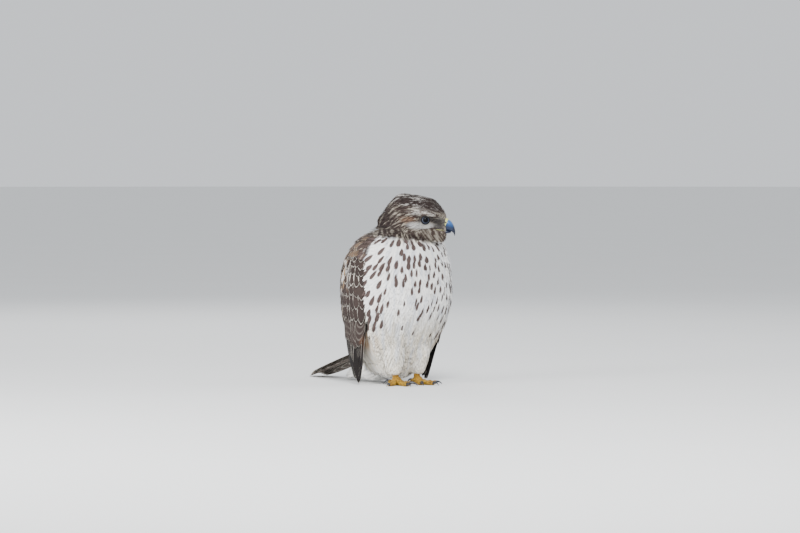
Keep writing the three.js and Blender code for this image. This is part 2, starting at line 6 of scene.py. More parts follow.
import bpy
import numpy as np
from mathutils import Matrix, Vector
from mathutils.bvhtree import BVHTree


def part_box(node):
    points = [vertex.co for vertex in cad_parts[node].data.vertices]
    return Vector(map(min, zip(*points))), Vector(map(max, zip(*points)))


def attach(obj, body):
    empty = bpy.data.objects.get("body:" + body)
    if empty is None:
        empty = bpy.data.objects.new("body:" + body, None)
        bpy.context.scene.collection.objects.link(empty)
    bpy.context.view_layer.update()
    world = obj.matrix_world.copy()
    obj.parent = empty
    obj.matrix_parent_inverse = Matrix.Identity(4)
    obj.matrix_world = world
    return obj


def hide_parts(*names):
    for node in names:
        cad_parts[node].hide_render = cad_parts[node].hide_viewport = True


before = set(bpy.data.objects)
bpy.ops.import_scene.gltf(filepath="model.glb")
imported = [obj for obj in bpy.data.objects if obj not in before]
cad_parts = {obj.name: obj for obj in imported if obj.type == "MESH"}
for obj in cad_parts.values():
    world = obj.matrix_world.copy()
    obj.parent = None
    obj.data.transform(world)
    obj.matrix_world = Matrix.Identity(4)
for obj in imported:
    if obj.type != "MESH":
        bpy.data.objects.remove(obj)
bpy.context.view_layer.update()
rng = np.random.default_rng(11)

# Sizes of the bird, in millimetres

METRE = 1000
MILLIMETRE = 0.001
FULL_TURN = 2 * math.pi
# The bird's own sides, with its left at +X
SIDES = ((1, "left"), (-1, "right"))
HEAD_TURN = math.radians(45)
NECK_AXIS = (0.0, 5.0)
# The eye's turn is in degrees out from the head's heading, and up is the slope of its look
EYE = {"side": 20.6, "forward": 37.2, "height": 289.0, "radius": 9.3, "turn": 19.0, "up": 0.06}
FOOT_SPREAD = 22.5
TAIL_LENGTH = 218.0
TAIL_ROOT = (88.0, 70.0)
TAIL_TIP_HEIGHT = 7.0
# Hollow of the body that a folded wing lies in. Its edges fade between two offsets in degrees
# from the wing's own edges, and its ends between two heights
WING_BED = 9.0
BED_FADE = {"front": (-7, 3), "rear": (-2, 9), "low": (62, 100), "high": (236, 256)}
# Lowest height of a coat feather's spine
FLOOR_GAP = 2.0
# Depth of the coat over the skin
COAT = {"body": 3.0, "head": 2.0, "thigh": 2.8, "undertail": 2.8}

# Height, half width, depth to the front and to the back, and how far back the middle lies
BODY = [
    (9, 15, 13, 22, 34),
    (26, 42, 30, 50, 36),
    (52, 65, 45, 66, 38),
    (77, 80, 56, 75, 37),
    (101, 92, 66, 82, 36),
    (126, 99, 74, 88, 33),
    (149, 102, 76, 92, 31),
    (175, 102, 74, 94, 30),
    (212, 98, 68, 92, 27),
    (230, 92, 64, 86, 24),
    (248, 82, 56, 78, 20),
    (261, 64, 40, 72, 16),
    (273, 43, 31, 50, 12),
    (285, 33, 27, 38, 9),
    (298, 20, 18, 24, 8),
]
# The same for the form that the folded wings follow
WING = [
    (0, 76, 38, 46, 48),
    (26, 82, 46, 56, 47),
    (52, 88, 54, 66, 45),
    (77, 93, 60, 75, 41),
    (101, 96, 66, 82, 37),
    (126, 100, 74, 88, 33),
    (149, 102, 76, 92, 31),
    (175, 102, 74, 94, 30),
    (212, 98, 68, 92, 27),
    (230, 92, 64, 86, 24),
    (248, 82, 56, 78, 20),
]
# Height, then the front and rear edge of the folded wing in degrees round the body
WING_EDGES = [
    (0, 84, 100),
    (14, 72, 112),
    (30, 65, 120),
    (60, 61, 132),
    (100, 63, 147),
    (150, 64, 157),
    (200, 64, 157),
    (225, 68, 150),
    (240, 80, 126),
]
# Distance forward, half width, reach up and down, and height of the middle
HEAD = [
    (-46, 6, 6, 6, 286),
    (-42, 14, 10, 14, 285),
    (-34, 23, 20, 25, 285),
    (-27, 27, 29, 31, 286),
    (-18, 31, 39, 36, 286.5),
    (-9, 33, 45.5, 39, 287),
    (9, 33.5, 45, 40, 287.5),
    (25, 32, 43, 38, 288),
    (40, 28, 40, 36, 288),
    (50, 24, 38.5, 37, 287),
    (58, 20, 33, 37, 285),
    (65, 16, 27.5, 35, 283),
    (70, 12, 21, 29, 281.5),
    (74, 8, 12, 16, 280),
]
# Ridge over the eye: its place on the head, its size, and how it leans in and falls forward
BROW = {"side": 24.6, "forward": 39.5, "height": 300.6, "length": 16, "width": 5.4, "depth": 4.6}
BROW_LEAN = {"in": 0.25, "down": 0.3}
# Forward and height of the ridge, forward and height of the lower edge, and half width
CERE = [(66, 294.5, 65.5, 271, 9.8), (72, 292.6, 71, 270.8, 8.8), (78, 288.8, 76, 270.5, 7.7)]
UPPER_BILL = [
    (69.5, 291.6, 68, 270.8, 8.9),
    (74, 290.6, 72, 270.6, 7.9),
    (79, 287.6, 78, 269.8, 6.8),
    (83, 282.9, 81, 268.9, 5.7),
    (85.8, 277.2, 83, 267.6, 4.5),
    (87.5, 270.8, 84.6, 265.8, 3.0),
    (87.6, 265.6, 85.8, 263.3, 1.6),
    (87, 261.3, 86.5, 260.9, 0.5),
]
LOWER_BILL = [(66, 271.2, 68, 265.2, 7.2), (75, 270.9, 75.6, 265.6, 5.4), (80.5, 269.8, 79.5, 266.6, 1.6)]
# Slanted line where the cere ends, and how its edge there rolls in, back and down
CERE_FRONT = {"forward": 75.5, "height": 290.0, "slope": -0.35}
CERE_ROLL = {"in": 2.2, "back": 1.4, "down": 2.0}
NOSTRIL = {"forward": 71.6, "height": 284.6, "depth": 1.6, "rim": 0.35}
# Line of the closed mouth, and the lip over its corner
LIP = {"start": 2, "run": 13, "up": 0.9, "fall": 1.6, "sink": 1.6, "least": 7.6}
GAPE = {"back": 54.5, "back_z": 272.0, "front": 74.0, "front_z": 270.0}
# Distance back, half width, reach up and down, and height of the middle
UNDERTAIL = [
    (52, 30, 20, 24, 34),
    (80, 38, 24, 30, 33),
    (105, 33, 22, 24, 26),
    (135, 24, 16, 15, 16.5),
    (165, 13, 10, 9, 9.5),
    (182, 4, 4, 4, 5.2),
]
# Height, half width, depth to the front and to the back, and how far back the middle lies
THIGH = [
    (18, 10, 12, 12, 5),
    (26, 14, 17, 18, 7),
    (45, 22, 26, 26, 12),
    (66, 27, 34, 32, 18),
    (95, 26, 34, 30, 26),
    (120, 12, 16, 14, 30),
]
THIGH_OUT = 25.0
# Heading in degrees out from straight ahead, length, radius at the root and the tip, claw's length
TOES = {
    "inner": (-22, 27, 5.2, 3.9, 20),
    "middle": (8, 39, 5.4, 3.7, 18),
    "outer": (60, 31, 4.9, 3.5, 15),
    "hind": (176, 19, 5.0, 4.1, 23),
}
# Pitch of a claw at its root and its tip, in degrees
CLAW_PITCH = (34.0, -62.0)

# Colours


def shade(red, green, blue):
    """A colour read on a screen's 0 to 255 scale, as linear light."""
    values = np.array([red, green, blue], float) / 255
    return np.where(values <= 0.04045, values / 12.92, ((values + 0.055) / 1.055) ** 2.4)


WHITE = shade(250, 249, 247)
CREAM = shade(232, 222, 202)
BUFF = shade(196, 160, 118)
RUFOUS = shade(112, 84, 66)
PALE_GREY = shade(208, 204, 198)
# Cool grey of the painted shade between the breast's tufts
TUFT_SHADE_GREY = shade(196, 201, 210)
DUSTY = shade(186, 176, 156)
BROWN = shade(86, 72, 66)
DARK_BROWN = shade(50, 41, 39)
BLACKISH = shade(30, 27, 28)
DROP_BROWN = shade(82, 69, 66)
TAIL_GREY = shade(108, 99, 91)
WING_EDGE = shade(232, 224, 212)
MANTLE_EDGE = shade(206, 192, 174)
# Pale and dark colour
BILL_PAINT = [shade(48, 94, 152), shade(14, 20, 40)]
CERE_PAINT = [shade(206, 208, 128), shade(52, 54, 44)]

# Curves and placing


def smooth_step(low, high, x):
    """0 up to low, 1 from high on, and smooth between them."""
    t = np.clip((np.asarray(x, float) - low) / (high - low), 0, 1)
    return t * t * (3 - 2 * t)


def band(x, low, high, soft):
    """1 between low and high, fading to 0 past each of them."""
    return smooth_step(low - soft, low + soft, x) * (1 - smooth_step(high - soft, high + soft, x))


def curve_through(rows, column):
    """Smooth curve of one column of a table, read at values of the first column."""
    at = np.array([row[0] for row in rows], float)
    value = np.array([row[column] for row in rows], float)
    last = len(at) - 1
    before = np.maximum(np.arange(last + 1) - 1, 0)
    after = np.minimum(np.arange(last + 1) + 1, last)
    slope = (value[after] - value[before]) / (at[after] - at[before])

    def read(x):
        where = np.clip(np.asarray(x, float), at[0], at[-1])
        k = np.clip(np.searchsorted(at, where, side="right") - 1, 0, last - 1)
        width = at[k + 1] - at[k]
        t = (where - at[k]) / width
        t2, t3 = t * t, t * t * t
        start = (2 * t3 - 3 * t2 + 1) * value[k] + (t3 - 2 * t2 + t) * width * slope[k]
        return start + (3 * t2 - 2 * t3) * value[k + 1] + (t3 - t2) * width * slope[k + 1]

    return read


def graded(pairs, at):
    """Value at a place, along straight lines between pairs of place and value."""
    places, values = zip(*pairs)
    return np.interp(at, places, values)


def columns_of(rows):
    """A smooth curve for each column of a table after its first."""
    return [curve_through(rows, i) for i in range(1, len(rows[0]))]


def stack(x, y, z):
    return np.stack(np.broadcast_arrays(x, y, z), axis=-1).astype(float)


def unit(vectors):
    return vectors / np.maximum(np.linalg.norm(vectors, axis=-1, keepdims=True), 1e-9)


def blend(a, b, weight):
    """Colour a turned into colour b by a weight from 0 to 1."""
    weight = np.asarray(weight, float)[..., None]
    return a * (1 - weight) + b * weight


def on_head(side, forward, height):
    """Point of the head, given along its own heading."""
    side, forward = np.asarray(side, float), np.asarray(forward, float)
    cos, sin = math.cos(HEAD_TURN), math.sin(HEAD_TURN)
    x = NECK_AXIS[0] + side * cos + forward * sin
    y = NECK_AXIS[1] + side * sin - forward * cos
    return stack(x, y, height)


def head_place(points):
    """Side, forward and height of points along the head's heading."""
    x, y = points[..., 0] - NECK_AXIS[0], points[..., 1] - NECK_AXIS[1]
    cos, sin = math.cos(HEAD_TURN), math.sin(HEAD_TURN)
    return x * cos + y * sin, x * sin - y * cos, points[..., 2]


def eye_centre(side):
    return on_head(side * EYE["side"], EYE["forward"], EYE["height"])


def eye_look(side):
    turn = math.radians(EYE["turn"])
    tip = on_head(side * math.cos(turn), math.sin(turn), EYE["up"])
    return unit(tip - on_head(0, 0, 0))


def box_middle(node):
    low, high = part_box(node)
    return (np.array(low) + np.array(high)) / 2


# From the bird's own frame to the place of the solids
SHIFT = box_middle("eye_left") - eye_centre(1) * MILLIMETRE


def placed(points):
    return np.asarray(points, float) * MILLIMETRE + SHIFT


# Meshes


def new_mesh(name, points, faces):
    """Mesh object from points in millimetres and faces that all have the same number of corners."""
    faces = np.asarray(faces, np.int32)
    mesh = bpy.data.meshes.new(name)
    mesh.vertices.add(len(points))
    mesh.vertices.foreach_set("co", placed(points).astype(np.float32).ravel())
    mesh.loops.add(faces.size)
    mesh.loops.foreach_set("vertex_index", faces.ravel())
    mesh.polygons.add(len(faces))
    mesh.polygons.foreach_set("loop_start", np.arange(0, faces.size, faces.shape[1], dtype=np.int32))
    mesh.polygons.foreach_set("use_smooth", np.ones(len(faces), bool))
    mesh.update(calc_edges=True)
    mesh.validate()
    piece = bpy.data.objects.new(name, mesh)
    bpy.context.scene.collection.objects.link(piece)
    return piece


def set_values(piece, name, kind, values):
    """Values for each vertex that the materials read by name."""
    layer = piece.data.attributes.new(name, kind, "POINT")
    field = {"FLOAT": "value", "FLOAT_COLOR": "color", "FLOAT_VECTOR": "vector"}[kind]
    values = np.asarray(values, np.float32)
    if kind == "FLOAT_COLOR" and values.shape[-1] == 3:
        values = np.concatenate([values, np.ones((len(values), 1), np.float32)], axis=1)
    layer.data.foreach_set(field, values.ravel())


def loft_points(rows, ring, place):
    """Rings of points with a pole at each end, and their faces as triangles."""
    row = np.linspace(0, 1, rows + 1)[:, None]
    turn = np.arange(ring)[None, :] / ring
    grid = place(row, turn)
    points = np.concatenate([grid.reshape(-1, 3), grid[:1].mean(1), grid[-1:].mean(1)])
    k = np.arange(ring)
    after = (k + 1) % ring
    faces = []
    for r in range(rows):
        a, b = r * ring + k, r * ring + after
        faces += [np.stack([a, b, b + ring], 1), np.stack([a, b + ring, a + ring], 1)]
    first, last = len(points) - 2, len(points) - 1
    top = rows * ring
    faces.append(np.stack([np.full(ring, first), after, k], 1))
    faces.append(np.stack([np.full(ring, last), top + k, top + after], 1))
    faces = np.concatenate(faces)
    corners = points[faces]
    volume = np.einsum("ij,ij->i", corners[:, 0], np.cross(corners[:, 1], corners[:, 2])).sum()
    return points, faces if volume > 0 else faces[:, ::-1]


def joined_points(parts):
    points, faces, start = [], [], 0
    for part_points, part_faces in parts:
        points.append(part_points)
        faces.append(part_faces + start)
        start += len(part_points)
    return np.concatenate(points), np.concatenate(faces)


def finished(piece, material, nodes=()):
    """Give a piece its material and its place in the frame, and the solids that it stands for."""
    piece.data.materials.clear()
    piece.data.materials.append(material)
    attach(piece, "root")
    if nodes:
        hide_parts(*nodes)
    return piece


def with_modifiers_applied(piece):
    depsgraph = bpy.context.evaluated_depsgraph_get()
    mesh = bpy.data.meshes.new_from_object(piece.evaluated_get(depsgraph))
    old = piece.data
    piece.modifiers.clear()
    piece.data = mesh
    bpy.data.meshes.remove(old)
    mesh.polygons.foreach_set("use_smooth", np.ones(len(mesh.polygons), bool))


# Forms of the body

body_columns = columns_of(BODY)
wing_columns = columns_of(WING)
head_columns = columns_of(HEAD)
thigh_columns = columns_of(THIGH)
undertail_columns = columns_of(UNDERTAIL)
wing_front = curve_through(WING_EDGES, 1)
wing_rear = curve_through(WING_EDGES, 2)


def shell_point(columns, height, turn, grow=0.0):
    half, front, back, middle = [column(height) for column in columns]
    depth = np.where(np.cos(turn) > 0, front, back)
    return stack(-(half + grow) * np.sin(turn), middle - (depth + grow) * np.cos(turn), height)


def bed_depth(height, turn):
    degrees = np.abs(np.degrees(turn))
    front_edge, rear_edge = wing_front(height), wing_rear(height)
    front = smooth_step(front_edge + BED_FADE["front"][0], front_edge + BED_FADE["front"][1], degrees)
    rear = 1 - smooth_step(rear_edge + BED_FADE["rear"][0], rear_edge + BED_FADE["rear"][1], degrees)
    ends = smooth_step(*BED_FADE["low"], height) * (1 - smooth_step(*BED_FADE["high"], height))
    return WING_BED * front * rear * ends


def body_point(height, turn, grow, bed=1.0):
    """Point of the body. bed is 1 with the wings' hollows and 0 without them."""
    return shell_point(body_columns, height, turn, grow - bed * bed_depth(height, turn))


def body_form(grow, bed):
    low, high = BODY[0][0] - grow, BODY[-1][0] + grow

    def place(row, turn):
        return body_point(low + (high - low) * row, (turn - 0.5) * FULL_TURN, grow, bed)

    return loft_points(rows=70, ring=96, place=place)


def head_point(forward, angle, grow):
    half, up, down, middle = [column(forward) for column in head_columns]
    reach = np.where(np.sin(angle) > 0, up, down) + grow
    return on_head((half + grow) * np.cos(angle), forward, middle + reach * np.sin(angle))


def head_form(grow):
    back, front = HEAD[0][0] - grow, HEAD[-1][0] + grow

    def place(row, turn):
        return head_point(back + (front - back) * row, turn * FULL_TURN, grow)

    return loft_points(rows=50, ring=72, place=place)


def brow_form(side, grow):
    """Ridge that overhangs the eye."""

    def place(row, turn):
        polar, angle = row * math.pi, turn * FULL_TURN
        along = -np.cos(polar) * (BROW["length"] + grow)
        out = (BROW["width"] + grow) * np.sin(polar) * np.cos(angle)
        up = (BROW["depth"] + grow) * np.sin(polar) * np.sin(angle)
        beside = side * (BROW["side"] - BROW_LEAN["in"] * along)
        return on_head(beside + out, BROW["forward"] + along, BROW["height"] - BROW_LEAN["down"] * along + up)

    return loft_points(rows=16, ring=20, place=place)


def thigh_point(side, height, turn, grow):
    point = shell_point(thigh_columns, height, turn, grow)
    point[..., 0] += side * THIGH_OUT
    return point


def thigh_form(side, grow):
    low, high = THIGH[0][0] - grow, THIGH[-1][0] + grow

    def place(row, turn):
        return thigh_point(side, low + (high - low) * row, turn * FULL_TURN, grow)

    return loft_points(rows=24, ring=40, place=place)


def undertail_point(back, angle, grow):
    half, up, down, middle = [column(back) for column in undertail_columns]
    reach = np.where(np.sin(angle) > 0, up, down) + grow
    return stack((half + grow) * np.cos(angle), back, middle + reach * np.sin(angle))


def undertail_form(grow):
    start, end = UNDERTAIL[0][0] - grow, UNDERTAIL[-1][0] + grow

    def place(row, turn):
        return undertail_point(start + (end - start) * row, turn * FULL_TURN, grow)

    return loft_points(rows=30, ring=40, place=place)


# Colours and marks, worked out from the place on the bird

LATTICE_SIZE = 64
LATTICE = rng.random((LATTICE_SIZE, LATTICE_SIZE))


def soft_noise(a, b):
    """Smooth noise from 0 to 1 over two measures."""
    a, b = np.asarray(a, float), np.asarray(b, float)
    i, j = np.floor(a).astype(int), np.floor(b).astype(int)
    u, v = smooth_step(0, 1, a - i), smooth_step(0, 1, b - j)

    def corner(di, dj):
        return LATTICE[(i + di) % LATTICE_SIZE, (j + dj) % LATTICE_SIZE]

    low = corner(0, 0) * (1 - u) + corner(1, 0) * u
    high = corner(0, 1) * (1 - u) + corner(1, 1) * u
    return low * (1 - v) + high * v


def body_turn(points):
    """Degrees round the body from the breast's midline, above 0 on the bird's right."""
    half, front, back, middle = [column(points[..., 2]) for column in body_columns]
    ahead = middle - points[..., 1]
    return np.degrees(np.arctan2(-points[..., 0] / half, ahead / np.where(ahead > 0, front, back)))


def degrees_per_millimetre(height, degrees):
    half, front, _, _ = [column(height) for column in body_columns]
    turn = np.radians(degrees)
    return 180 / math.pi / np.hypot(half * np.cos(turn), front * np.sin(turn))


def coat_slant(height, degrees):
    """Angle of the breast feathers' lie from straight down, above 0 towards the bird's right."""
    upper = smooth_step(105, 200, height)
    right = 0.75 * smooth_step(16, 60, degrees) * (0.25 + 0.75 * upper)
    left = -0.5 * smooth_step(20, 75, -degrees) * upper
    middle = 0.24 * (1 - smooth_step(185, 215, height)) - 0.2 * smooth_step(195, 225, height)
    return right + left + middle * smooth_step(16, 4, degrees) * smooth_step(-50, -30, degrees)


def body_colour(points):
    """White breast, creamy belly, brown back and neck."""
    degrees, height = body_turn(points), points[:, 2]
    strand = soft_noise(degrees * 0.5 + 7, height * 0.06)
    wide = soft_noise(degrees * 0.08, height * 0.04 + 20)
    colour = white_front(degrees, height, strand, wide)
    colour = brown_back(colour, degrees, height, strand, wide)
    collar = smooth_step(238, 256, height + 6 * (strand - 0.5)) * band(degrees, -30, 34, 12)
    return blend(colour, blend(BROWN, CREAM, smooth_step(0.35, 0.7, strand)), collar * 0.75)


def white_front(degrees, height, strand, wide):
    """White with creamy strands and painted shade in cool grey strands, dusty low on the belly and buff on
    the flanks.
    """
    cream = band(height, 16, 100, 22) * (0.3 + 0.5 * strand) + 0.15 * wide
    colour = blend(WHITE, CREAM, np.clip(cream, 0, 1)) * (0.88 + 0.12 * strand)[:, None]
    # Cool grey strands are painted shade between the tufts
    tuft_shade = soft_noise(degrees * 0.36 + 3, height * 0.04 + 5)
    colour = blend(colour, TUFT_SHADE_GREY, 0.6 * smooth_step(0.5, 0.8, tuft_shade))
    low = band(height, 22, 126, 16) * smooth_step(0.4, 0.75, soft_noise(degrees * 0.5 + 31, height * 0.05))
    colour = blend(colour, DUSTY, 0.5 * low)
    flank = band(np.abs(degrees), 48, 66, 6) * band(height, 58, 92, 10)
    return blend(colour, BUFF, flank * 0.45 * strand)


def brown_back(colour, degrees, height, strand, wide):
    edge = 72 + 10 * (strand - 0.5) - 8 * smooth_step(235, 262, height)
    back = smooth_step(edge - 4, edge + 4, np.abs(degrees)) * smooth_step(44, 74, height)
    brown = blend(DARK_BROWN, BROWN, strand)
    return blend(colour, blend(brown, BUFF, 0.35 * smooth_step(0.6, 0.9, wide)), back)


def streaks(points):
    """Streaks that run back from the bill over the head, from 0 to 1."""
    side, forward, height = head_place(points)
    low = smooth_step(286, 262, height)
    bent = height - 284 + STREAK_BEND * (70 - forward) ** 2
    round_bill = np.degrees(np.arctan2(bent, side + 1e-6))
    reach = np.hypot(np.hypot(side, bent), forward - 70)
    fan = soft_noise(round_bill * 0.75 + 2, reach * 0.13)
    down = soft_noise((forward + 0.45 * height) * 0.7 + 11, height * 0.1)
    return fan * (1 - low) + down * low


# Ovals on the side of the head: forward and height of the middle, reach each way, and softness
HEAD_SPOTS = {
    "ear patch": ((9, 290), (13, 5.5), 0.5),
    "brow": ((28, 303.5), (18, 5), 0.6),
    "brow front": ((47, 300), (9, 3), 0.4),
    "cheek": ((31, 280.3), (22, 5.8), 0.35),
    "socket": ((37, 289), (10.5, 9), 0.35),
    "bristles": ((63, 284), (10, 10), 0.4),
    "chin stripe": ((57.5, 261), (2.6, 8), 0.5),
    "neck patch": ((-22, 254), (9, 9), 0.4),
}
BRISTLE_GREY = (shade(88, 88, 88), shade(44, 43, 44))
STREAK_BEND = 0.0035


def spot(forward, height, name):
    """1 inside an oval on the side of the head, fading to 0 round it."""
    centre, reach, soft = HEAD_SPOTS[name]
    away = np.hypot((forward - centre[0]) / reach[0], (height - centre[1]) / reach[1])
    return smooth_step(1 + soft, 1 - soft, away)


def head_colour(points):
    """Streaked brown head with a pale brow, a rufous patch, a grey cheek and a dark throat."""
    side, forward, height = head_place(points)
    line = streaks(points)
    lifted = height + 5 * (line - 0.5)
    pale = smooth_step(0.58, 0.7, line)
    colour = blend(blend(BROWN, DARK_BROWN, 0.8), CREAM * 0.62, pale * 0.65)
    colour = crown_and_nape(colour, line, forward, height, lifted)
    colour = face_marks(colour, line, forward, height, lifted)
    return throat_marks(colour, line, side, forward, height, lifted)


def crown_and_nape(colour, line, forward, height, lifted):
    crown = smooth_step(306, 315, lifted + 0.2 * forward - 5)
    bright = (0.25 + 0.5 * smooth_step(50, 16, forward)) * smooth_step(0.64, 0.76, line)
    colour = blend(colour, blend(DARK_BROWN, PALE_GREY, bright), crown)
    nape = smooth_step(-4, -24, forward) * smooth_step(324, 304, height)
    return blend(colour, blend(DARK_BROWN, CREAM * 0.66, smooth_step(0.64, 0.78, line) * 0.55), nape)


def face_marks(colour, line, forward, height, lifted):
    """Ear patch, brow, cheek, painted shadow of the brow before the eye, dark socket and grey bristles."""
    rufous = blend(RUFOUS, DARK_BROWN, smooth_step(0.55, 0.3, line) * 0.7)
    colour = blend(colour, rufous, spot(forward, lifted, "ear patch") * 0.8)
    brow = np.maximum(spot(forward, lifted, "brow"), spot(forward, lifted, "brow front"))
    colour = blend(colour, blend(BROWN, PALE_GREY * 0.66, smooth_step(0.3, 0.62, line)), brow * 0.9)
    cheek = spot(forward, lifted, "cheek")
    colour = blend(colour, blend(PALE_GREY * 0.5, WHITE * 0.62, line), cheek * 0.95)
    # Dark line before the eye, painted as the shadow under the brow
    brow_shadow = band(height + 0.42 * (forward - 46), 286.5, 297, 2.2) * band(forward, 43, 67, 3)
    colour = blend(colour, BLACKISH, brow_shadow * 0.8)
    colour = blend(colour, BLACKISH, spot(forward, height, "socket") * 0.6)
    bristles = spot(forward, height, "bristles") * (1 - 0.8 * brow_shadow)
    return blend(colour, blend(*BRISTLE_GREY, line), bristles * 0.8)


def throat_marks(colour, line, side, forward, height, lifted):
    malar = smooth_step(274, 269, lifted) * smooth_step(16, 34, forward)
    throat = blend(BROWN * 0.6, CREAM * 0.4, smooth_step(0.62, 0.76, line) * 0.8)
    colour = blend(colour, throat, malar * 0.9)
    stripe = spot(forward, height, "chin stripe") * smooth_step(4, 8, np.abs(side))
    colour = blend(colour, CREAM * 0.6, stripe * 0.35)
    return blend(colour, BLACKISH, spot(forward, height, "neck patch") * 0.8)


def neck_share(points):
    """How far a place belongs to the head's markings and not to the body's."""
    _, forward, height = head_place(points)
    ragged = 7 * (soft_noise(forward * 0.3, height * 0.05) - 0.5)
    return smooth_step(252.5, 258.5, height + 0.1 * forward + ragged)


def coat_colour(points):
    return blend(body_colour(points), head_colour(points), neck_share(points))


def plain_white(points):
    strand = soft_noise(points[:, 0] * 0.45 + 9, points[:, 2] * 0.07 + points[:, 1] * 0.03)
    return blend(WHITE, CREAM, 0.25 * strand) * (0.86 + 0.14 * strand)[:, None]


def thigh_colour(points):
    strand = soft_noise(points[:, 0] * 0.5 + points[:, 1] * 0.4, points[:, 2] * 0.06)
    return blend(WHITE, CREAM, 0.3 + 0.55 * strand) * (0.84 + 0.16 * strand)[:, None]


# Brown drops on the breast, laid out in staggered rows from the neck down


# Drops by area of the breast: chance, half width and length
DROP_AREAS = {
    "throat": (0.9, 4.3, 15),
    "upper right": (0.92, 4.0, 17),
    "upper left": (0.88, 3.4, 14),
    "side": (0.95, 3.6, 20),
    "flank": (0.92, 3.8, 18),
    "breast": (0.68, 3.3, 16),
    "left": (0.7, 2.7, 18),
    "lower breast": (0.4, 2.8, 14),
    "belly": (0.12, 2.2, 12),
}


def drop_area(height, degrees):
    side = abs(degrees)
    if height > 203:
        if -8 < degrees < 34:
            return "throat"
        return "upper right" if degrees > 0 else "upper left"
    if 40 < side < 51:
        return "side"
    if side >= 51:
        return "flank"
    if height > 160:
        return "breast"
    if degrees < 8 and height > 105:
        return "left"
    return "lower breast" if height > 118 else "belly"


def crowded(drop, other):
    """Whether two drops would run into one blot."""
    height, degrees, half, _ = drop
    other_height, other_degrees, other_half, other_length = other
    across = abs(degrees - other_degrees) / float(degrees_per_millimetre(height, degrees))
    return across < 0.65 * (half + other_half) and abs(height - other_height) < 0.6 * other_length


# Rows of drops: heights of the first and the last, step down, first and last degrees of a row,
# and the shift of every second row
DROP_ROWS = {"top": 254.0, "bottom": 84, "step": 15.0, "first": -66.0, "last": 68, "stagger": 4.0}
# Millimetres between drops in a row, above and below the height where the gap grows
DROP_SPACING = {"upper": 11.0, "lower": 12.5, "height": 200}
# How many of the drops before it a new one is held against
DROPS_BEFORE = 60


def breast_drops():
    drops, odd, height = [], 0, DROP_ROWS["top"]
    while height > DROP_ROWS["bottom"]:
        degrees = DROP_ROWS["first"] + DROP_ROWS["stagger"] * odd
        step = DROP_SPACING["upper" if height > DROP_SPACING["height"] else "lower"]
        while degrees < DROP_ROWS["last"]:
            degrees += step * float(degrees_per_millimetre(height, degrees))
            chance, half, length = DROP_AREAS[drop_area(height, degrees)]
            if rng.random() < chance:
                spot_at = (height + 11 * (rng.random() - 0.5), degrees + 3 * (rng.random() - 0.5))
                drop = (*spot_at, half * (0.8 + 0.4 * rng.random()), length * (0.85 + 0.3 * rng.random()))
                if not any(crowded(drop, other) for other in drops[-DROPS_BEFORE:]):
                    drops.append(drop)
        height -= DROP_ROWS["step"]
        odd = 1 - odd
    return np.array(drops)


DROPS = breast_drops()
NO_DROP = -3.0


def drop_field(points):
    """How far inside a drop each point is, in millimetres. Below 0 is outside."""
    field = np.full(len(points), NO_DROP)
    order = np.argsort(points[:, 2])
    height, degrees = points[order, 2], body_turn(points[order])
    front = np.abs(degrees) < 85
    for top, turn, half, length in DROPS:
        first, last = np.searchsorted(height, (top - length - 14, top + 12))
        near = np.arange(first, last)[front[first:last]]
        across = (degrees[near] - turn) / degrees_per_millimetre(top, turn)
        down = top + length / 2 - height[near]
        slant = float(coat_slant(top, turn))
        along = down * math.cos(slant) + across * math.sin(slant)
        beside = across * math.cos(slant) - down * math.sin(slant)
        t = np.clip(along / length, 0, 1)
        reach = half * 2.3 * t**0.9 * np.sqrt(1 - t)
        inside = reach - np.abs(beside) - 3 * ((along < 0) | (along > length))
        field[order[near]] = np.maximum(field[order[near]], inside)
    return np.maximum(field, NO_DROP)


def no_drops(points):
    return np.full(len(points), NO_DROP)


# Skin: one smooth surface under the feathers


def body_parts(bed):
    parts = [body_form(-COAT["body"], bed), head_form(-COAT["head"]), undertail_form(-COAT["undertail"])]
    parts += [thigh_form(side, -COAT["thigh"]) for side, _ in SIDES]
    parts += [brow_form(side, -COAT["head"] * 0.6) for side, _ in SIDES]
    return parts


# Size of the skin's cells in metres, and how its joins are softened
SKIN_CELL = 0.0024
SOFTEN = {"factor": 0.5, "rounds": 5}


def one_surface(name, parts):
    """Forms that cross each other, as one surface without seams."""
    piece = new_mesh(name, *joined_points(parts))
    remesh = piece.modifiers.new("one surface", "REMESH")
    remesh.mode = "VOXEL"
    remesh.voxel_size = SKIN_CELL
    remesh.use_smooth_shade = True
    smooth = piece.modifiers.new("soften joins", "SMOOTH")
    smooth.factor = SOFTEN["factor"]
    smooth.iterations = SOFTEN["rounds"]
    with_modifiers_applied(piece)
    return piece


def make_skin(material):
    skin = one_surface("skin", body_parts(1.0))
    points = points_of(skin)
    marked = smooth_step(-0.3, 0.3, drop_field(points)) * (1 - neck_share(points))
    set_values(skin, "base", "FLOAT_COLOR", blend(coat_colour(points), DROP_BROWN, marked))
    flesh = ["head", "neck", "torso", "thigh_left", "thigh_right", "undertail_coverts"]
    return finished(skin, material, flesh)


def lie_of_the_coat():
    """Surface that the feathers follow: the skin without the hollows that the wings lie in."""
    guide = one_surface("guide", body_parts(0.0))
    surface = Surface(guide)
    mesh = guide.data
    bpy.data.objects.remove(guide)
    bpy.data.meshes.remove(mesh)
    return surface


def points_of(piece):
    flat = np.empty(len(piece.data.vertices) * 3, np.float32)
    piece.data.vertices.foreach_get("co", flat)
    return (flat.reshape(-1, 3).astype(float) - SHIFT) * METRE


